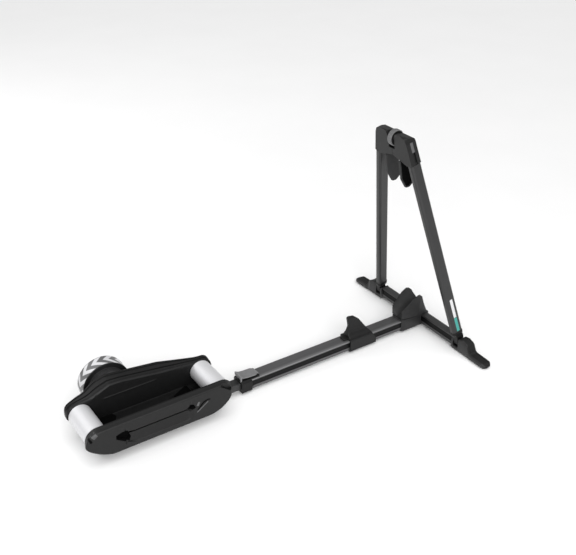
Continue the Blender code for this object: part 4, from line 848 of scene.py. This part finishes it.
def chock_fin():
    """Sections in plan carried up: the ends follow the fin's side outline, and the half thickness falls from the
    sleeve's width to a thin blade, with a small step for the mould's parting line."""
    line = rounded([(-350, 50, 0), (-352, 70, 12), (-343, 101, 14), (-352, 145, 5), (-321, 137.5, 16),
                    (-299, 120, 12), (-262, 70, 14), (-246, 52, 0), (-246, 48, 0), (-350, 48, 0)], 8)
    z = stations(np.linspace(49, 75.6, 34), np.linspace(76.4, 132, 40), np.linspace(132, 141.4, 16))
    lo, hi = reach(line, z)
    half = np.interp(z, [47, 52, 60, 66, 74, 86, 100, 146], [26, 25.4, 22.4, 17.0, 13.0, 10.4, 9.0, 8.3])
    seam = window(z, 56.2, 58.4, 0.8)
    half = half - 1.3 * smooth(z, 75.2, 76.4) - 1.8 * seam
    crown = 3.0 * smooth(z, 134, 142)
    return lofted("Z", z, lo + CX + 1.2 * seam, hi + CX - 1.2 * seam, -half + crown, half - crown, 3.2, 5)


sleeve = pipe(bar(31.8, 6.6, 55.4, 5), bar(26.1, 10.5, 50.5, 2.5), "X", CX - 353, CX - 233, 1.0)
front_cut = points((CX - 256, 60), (CX - 230, 22), (CX - 220, 22), (CX - 220, 60))
sleeve = carved([sleeve], [slab(front_cut, "Y", -40, 40, 0)])
band = pipe(bar(32.0, 6.6, 55.6, 5), bar(30.6, 8, 54, 4), "X", CX - 353.2, CX - 350.2)
tab = lofted("X", CX - points(370, 369, 367, 349), (-11.0, -12, -12, -12), (13.0, 14, 14, 14),
             (51.4, 50.9, 50.9, 50.9), (54.6, 55.4, 56, 56), 1.4, 3)
piece("small_chock_moulding", [sleeve, chock_fin(), tab, band], chock_black, "wheel_chock",
      "small_chock")


# Junction cover with the tyre cradle

def cradle():
    """Cheek outline carried across and cut to its plan, above a narrow neck that leaves a dark seam; the groove is
    the path of a tyre with a V edge: cones of two slopes turned about the wheel's axis.  The webs beside the spine
    end in a concave quarter circle."""
    plan = rounded([(-112, -32, 13), (-112, 32, 13), (22, 32, 5), (22, -32, 5)], 8)
    cover = slab(plan + (CX, 0), "Z", 7, 56.5, 3.0, 4)
    angles = np.radians(np.linspace(-84, -6, 13))
    hollow = np.stack([-37.2 + 22 * np.cos(angles), 54 + 22 * np.sin(angles)], 1)
    web = np.concatenate([[(-37.2, 29)], hollow, [(-13.2, hollow[-1, 1]), (-13.2, 29)]])
    webs = [slab(web * (1, s) + (CX, 0), "Z", 10, 49.9, 0.8, 2) for _, s in SIDES]
    cheek = rounded([(-110, 59.6, 1.2), (-114, 118, 9), (-66, 138, 20), (-42, 147, 10), (-25, 142, 8),
                     (-14, 110, 20), (8.6, 59.6, 1.2)], 8)
    block_plan = rounded([(-120, -27, 0), (-120, 27, 0), (-34, 38.5, 8), (18, 34, 0), (18, -34, 0),
                          (-34, -38.5, 8)], 6)
    block = carved([slab(cheek + (CX, 0), "Y", -40, 40, 0)], [slab(block_plan + (CX, 0), "Z", 40, 170, 0)],
                   "INTERSECT")
    neck_plan = rounded([(-107, -24.5, 3), (-107, 24.5, 3), (-34, 29, 8), (7, 29, 3), (7, -29, 3), (-34, -29, 8)], 4)
    neck = slab(neck_plan + (CX, 0), "Z", 54, 61.5, 0)
    groove = turned([(0, 46), (285, 46), (296, 36), (333, 20.5), (353, 0), (333, -20.5), (296, -36), (285, -46),
                     (0, -46)], CX - 230, 390, 192)
    room = [groove, slab(bar(26, 10.6, 50.4, 2), "X", CX - 130, CX - 14, 0),
            slab(bar(15.2, 12.2, 53.3, 1) + (CX, 0), "Y", -80, 80, 0)]
    return [carved([cover, *webs], room), carved([block], [groove], soften=4.6), carved([neck], [groove])]


piece("junction_moulding", cradle(), cradle_black, "front_frame", "junction_cover", sharp=26)

# Crossbar and feet
cross = pipe(channel(14.8, 12.6, 52.9, 1.8, 3.2) + (CX, 0), channel(10.6, 15.2, 50.3, 0.5, 2.0, 0.3) + (CX, 0), "Y",
             -205.7, 205.7)
piece("crossbar_profile", [cross], cross_black, "front_frame", "crossbar")


def foot_shell(side):
    """Sections across the foot carried along its length: the top follows the ear, slot, lug and toe, the width the
    plan, and a panel sinks below a raised rim from the lug to the toe."""
    line = rounded([(206, 5, 0), (206, 52, 3), (214.6, 52, 3), (214.6, 19, 2), (240.6, 19, 2), (240.6, 57, 4),
                    (262, 61, 12), (286, 53, 16), (300, 22, 14), (368, 19, 12), (382, 12, 5), (382, 5, 2.5)], 8)
    plan = rounded([(-19, 200, 0), (-19, 290, 20), (-21, 310, 30), (-21, 382, 19), (21, 382, 19), (21, 310, 30),
                    (19, 290, 20), (19, 200, 0)], 12)
    tip = 382 - 19 * (1 - np.cos(np.linspace(0.12, np.pi / 2, 18)))[::-1]
    y = stations(line[:, 0][(line[:, 0] > 206.01) & (line[:, 0] < 364)], [206.01, 214.58, 240.62],
                 np.linspace(241, 262, 9), np.linspace(262, 308, 24), np.linspace(308, 363, 12),
                 364 + (tip - tip[0]) * 17.9 / (tip[-1] - tip[0]))
    top = -reach(line[:, ::-1] * (-1, 1), y)[0]
    half = np.clip(reach(plan, y)[1], 0.3, None)
    low = 5.0 + 2.0 * smooth(y, 374, 382)
    edge = np.minimum(3.5, half * 0.3)
    rim = half - edge - np.minimum(2.2, half * 0.1)
    sunk = top - 1.8 * window(y, 249, 377, 3.0)
    arc = np.linspace(0, np.pi / 2, 5)[:, None]
    u = np.concatenate([[half - 1.2, half], half - edge + edge * np.cos(arc), [rim, rim - 0.9, half * 0.25]])
    z = np.concatenate([[low, low + 1.2], np.maximum(top - edge, low + 1.3) + edge * np.sin(arc), [top, sunk, sunk]])
    u, z = np.concatenate([u, -u[::-1]]), np.concatenate([z, z[::-1]])
    return shell(np.stack([u + CX, np.broadcast_to(side * y, u.shape), z], -1).transpose(1, 0, 2))


for name, s in SIDES:
    pin_hole = on_side(bore(5.3, 200, 262, HINGE_X, HINGE_Z), s)
    piece(name + "_foot_moulding", [carved([foot_shell(s)], [pin_hole])], foot_black, "front_frame",
          name + "_foot", sharp=36)


# A-frame

def leaning(*parts):
    """Shells made upright in the A-frame's own coordinates, put in place with its lean."""
    return [moved(part, on_frame) for part in parts]


def leg_section(out=0.0):
    """Rounded section of a leg, its longer side along X, grown by a distance."""
    a, b, r = 21 + out, 13 + out, 9 + out
    return rounded([(a, -b, r), (a, b, r), (-a, b, r), (-a, -b, r)], 9)


def on_leg(side):
    """Leg coordinates (depth, across, along) tilted by the splay about the hinge, then by the lean."""
    c, s = math.cos(SPLAY), side * math.sin(SPLAY)
    return lambda p: on_frame(np.stack([p[:, 0], side * LEG_Y + p[:, 1] * c - p[:, 2] * s,
                                        p[:, 1] * s + p[:, 2] * c], 1))


def leg(name, s):
    """One leg: its tube, the boot and knuckle at its foot, and on the near one a plain bar in two colours."""
    stretch = 1 / math.cos(SPLAY)
    tube = moved(pipe(leg_section(), leg_section(-2.2), "Z", 30 * stretch, 705 * stretch), on_leg(s))
    boot = moved(pipe(leg_section(1.4), leg_section(-0.1), "Z", 35.5, 47, 0.8), on_leg(s))
    line = np.concatenate([disc(0, 0, 15)[24:49], rounded(
        [(15, 0, 0), (15, 34, 2), (13, 36, 1), (-13, 36, 1), (-15, 34, 2), (-15, 0, 0)], 3, closed=False)[1:-1]])
    knuckle = carved([slab(line, "Y", s * 216.0, s * 238.6, 1.0, 3)], [on_side(bore(5.4, 180, 260, 0, 0), s)])
    piece(name + "_leg_tube", [tube], powder_black, "a_frame", name + "_leg")
    piece(name + "_leg_knuckle", [*leaning(knuckle), boot], trim_black, "a_frame")
    if s < 0:
        for part, lo, hi, look in (("upper", 108, 184, sticker_white), ("lower", 50, 106.5, sticker_teal)):
            label = slab(bar(6.0, lo, hi, 1.5, 3) + (1.5, 0), "Y", -13.15, -12.6, 0.1, 1)
            piece("leg_bar_" + part, [moved(label, on_leg(s))], look, "a_frame")


def apex(name, s):
    """One apex bracket: an outline across, softened, with its slot, screw hole, side recess and leg's tenon."""
    block = rounded([(97.18, 709.1, 2), (81, 786, 16), (73, 803, 10), (50, 811, 8), (24, 808, 8), (15.5, 790, 4),
                     (15.5, 748, 3), (0.5, 748, 1), (0.5, 722, 1), (34, 712, 10), (71.32, 701.5, 2)], 6)
    sloped = slab(points((-30, 815.4), (30, 789.4), (30, 840), (-30, 840)), "Y", -120, 120, 0)
    bracket = carved([slab(block * (s, 1), "X", -20.5, 20.5, 0)], [sloped], soften=3.6)
    recess = points((105, 706), (92.6, 706), (75.6, 787), (92, 787)) * (s, 1)
    slot = rounded([(-9, 690, 0), (9, 690, 0), (9, 799, 2), (-9, 799, 2)], 2)
    bracket = carved([bracket], [slab(slot, "Y", s * 11.3, s * 57.0, 0), on_side(bore(5.4, 12, 79, 0, WHEEL_S), s),
                                 slab(recess, "X", -4.5, 6.5, 0)])
    top_end = 705 / math.cos(SPLAY)
    tenon = moved(slab(leg_section(-2.6), "Z", top_end - 48, top_end + 10, 1), on_leg(s))
    piece(name + "_apex_moulding", [*leaning(bracket), tenon], casing_black, "a_frame",
          name + "_apex_bracket")
    insert = slab(points((88.2, 752), (80, 752), (73, 786), (81.1, 786)) * (s, 1), "X", -4.4, 6.4, 0)
    piece(name + "_apex_insert", leaning(insert), patch_grey, "a_frame")


def jaw(name, s):
    """One jaw: a blade outline grown and shrunk through its thickness to a rim round a hollow, and its neck."""
    blade = rounded([(-24, 711, 3), (-27, 640, 20), (-13, 600, 9), (4, 597, 9), (25, 609, 9), (28, 640, 20),
                     (24, 711, 3)], 8)
    pad = shell([placed(grown(blade, -d), "Y", s * y) for d, y in (
        (1.4, 32), (0.5, 32.3), (0, 33.3), (0, 38.8), (0.4, 39.7), (1.2, 40), (4.0, 40), (4.9, 39.4), (5.4, 36))])
    neck = carved([slab(bar(8.5, 700, 793, 2.5), "Y", s * 34.0, s * 50.0, 1.2, 3)],
                  [on_side(bore(5.4, 30, 60, 0, WHEEL_S), s)])
    # A near-black sheet in the pad's hollow is painted shade.
    hollow = slab(grown(blade, -5.6), "Y", s * 35.7, s * 36.3, 0)
    piece(name + "_jaw_pad", leaning(pad, neck), pad_grey, name + "_jaw", name + "_clamp_pad")
    piece(name + "_jaw_hollow_shade", leaning(hollow), painted_shade_black, name + "_jaw")


for name, s in SIDES:
    leg(name, s)
    apex(name, s)
    jaw(name, s)

# Clamp screw: a thumbwheel with finger flutes between two dark caps, on a rod threaded right-handed on one side
# of its plain middle and left-handed on the other
FLUTES, FLUTE_DEPTH = 28, 1.0
THREAD_PITCH, THREAD_DEPTH, PLAIN_HALF = 2.0, 0.2, 16.0
grip = turned(rounded([(5.3, -10, 0), (27.0, -10, 0), (28.9, -8.4, 1.5), (28.9, 8.4, 1.5), (27.0, 10, 0),
                       (5.3, 10, 0)], 4), 0, WHEEL_S, 168, ring=True,
              shape=lambda a, r, y: r - FLUTE_DEPTH * (0.5 - 0.5 * np.cos(FLUTES * a)) ** 2 * (r > 26) * (
                  np.abs(y) < 9.2))
piece("thumbwheel_grip", leaning(grip), wheel_grey, "clamp_screw", "clamp_thumbwheel")
cap_line = rounded([(5.3, 9.9, 0), (25.8, 9.9, 0), (25.8, 12.4, 1.2), (12.0, 12.8, 0.5), (11.0, 13.4, 0.3),
                    (5.3, 13.4, 0)], 3)
caps = [turned(cap_line * (1, s), 0, WHEEL_S, ring=True) for _, s in SIDES]
piece("thumbwheel_caps", leaning(*caps), trim_black, "clamp_screw")
thread_y = np.linspace(-76.4, 76.4, 390)
rod = turned([(0, -77), (4.2, -77), *((4.8, y) for y in thread_y), (4.2, 77), (0, 77)], 0, WHEEL_S, 28,
             shape=lambda a, r, y: r + THREAD_DEPTH * (r > 4.5) * (np.abs(y) > PLAIN_HALF) * np.sin(
                 np.sign(y) * a + 2 * np.pi * y / THREAD_PITCH))
piece("clamp_screw_rod", leaning(rod), zinc, "clamp_screw", "clamp_spindle", sharp=60)


# Stage, light and camera

def stage_floor(half=30.0, drop=0.0004):
    mat, tree = tree_of("pale_floor")
    inputs = tree.nodes["Principled BSDF"].inputs
    wire(mixed(tree, span(tree, noise(tree, 2.0), 0, 1), (0.90, 0.90, 0.90), (0.915, 0.915, 0.915)),
         inputs["Base Color"])
    wire(0.85, inputs["Roughness"])
    wire(0.1, inputs["Specular IOR Level"])
    mesh = bpy.data.meshes.new("floor")
    corners = ((-1, -1), (1, -1), (1, 1), (-1, 1))
    mesh.from_pydata([(half * x, half * y, -drop) for x, y in corners], [], [(0, 1, 2, 3)])
    mesh.materials.append(mat)
    in_scene("floor", mesh)


def looking(obj, place, along):
    """Puts a lamp or camera at a place and turns it along a direction."""
    obj.location = place
    obj.rotation_mode = "QUATERNION"
    obj.rotation_quaternion = Vector(along).to_track_quat("-Z", "Y")


def lamp(name, kind, energy, place, aim, **settings):
    data = bpy.data.lights.new(name, kind)
    data.energy = energy
    for key, value in settings.items():
        setattr(data, key, value)
    looking(in_scene(name, data), place, Vector(aim) - Vector(place))


def studio():
    world = bpy.data.worlds.new("studio")
    bpy.context.scene.world = world
    world.use_nodes = True
    sky = world.node_tree.nodes["Background"].inputs
    sky["Color"].default_value = (1, 1, 1, 1)
    sky["Strength"].default_value = 0.36
    lamp("overhead", "SUN", 1.7, (0.1, -1.3, 4.0), (0, 0, 0), angle=math.radians(70))
    lamp("front_fill", "AREA", 290, (-2.2, -5.2, 2.8), (-0.2, 0, 0), shape="RECTANGLE", size=5.0, size_y=3.4)
    lamp("far_softbox", "AREA", 34, (-2.0, 2.7, 2.2), (-0.5, 0, 0.1), shape="RECTANGLE", size=3.4, size_y=2.4)


def camera(heading=math.radians(56.37), down=math.radians(30.11), lens_pixels=907.0, picture_width=576.0):
    """Solved from the photograph: place, heading from +X to +Y, angle down from level, and lens."""
    data = bpy.data.cameras.new("camera")
    data.sensor_width = 36.0
    data.lens = lens_pixels / picture_width * data.sensor_width
    data.clip_end = 60.0
    bpy.context.scene.camera = in_scene("camera", data)
    looking(bpy.context.scene.camera, (-1.3736, -2.192, 1.918),
            (math.cos(heading) * math.cos(down), math.sin(heading) * math.cos(down), -math.sin(down)))


stage_floor()
studio()
camera()
bpy.context.scene.view_settings.view_transform = "Standard"
bpy.context.scene.view_settings.look = "None"
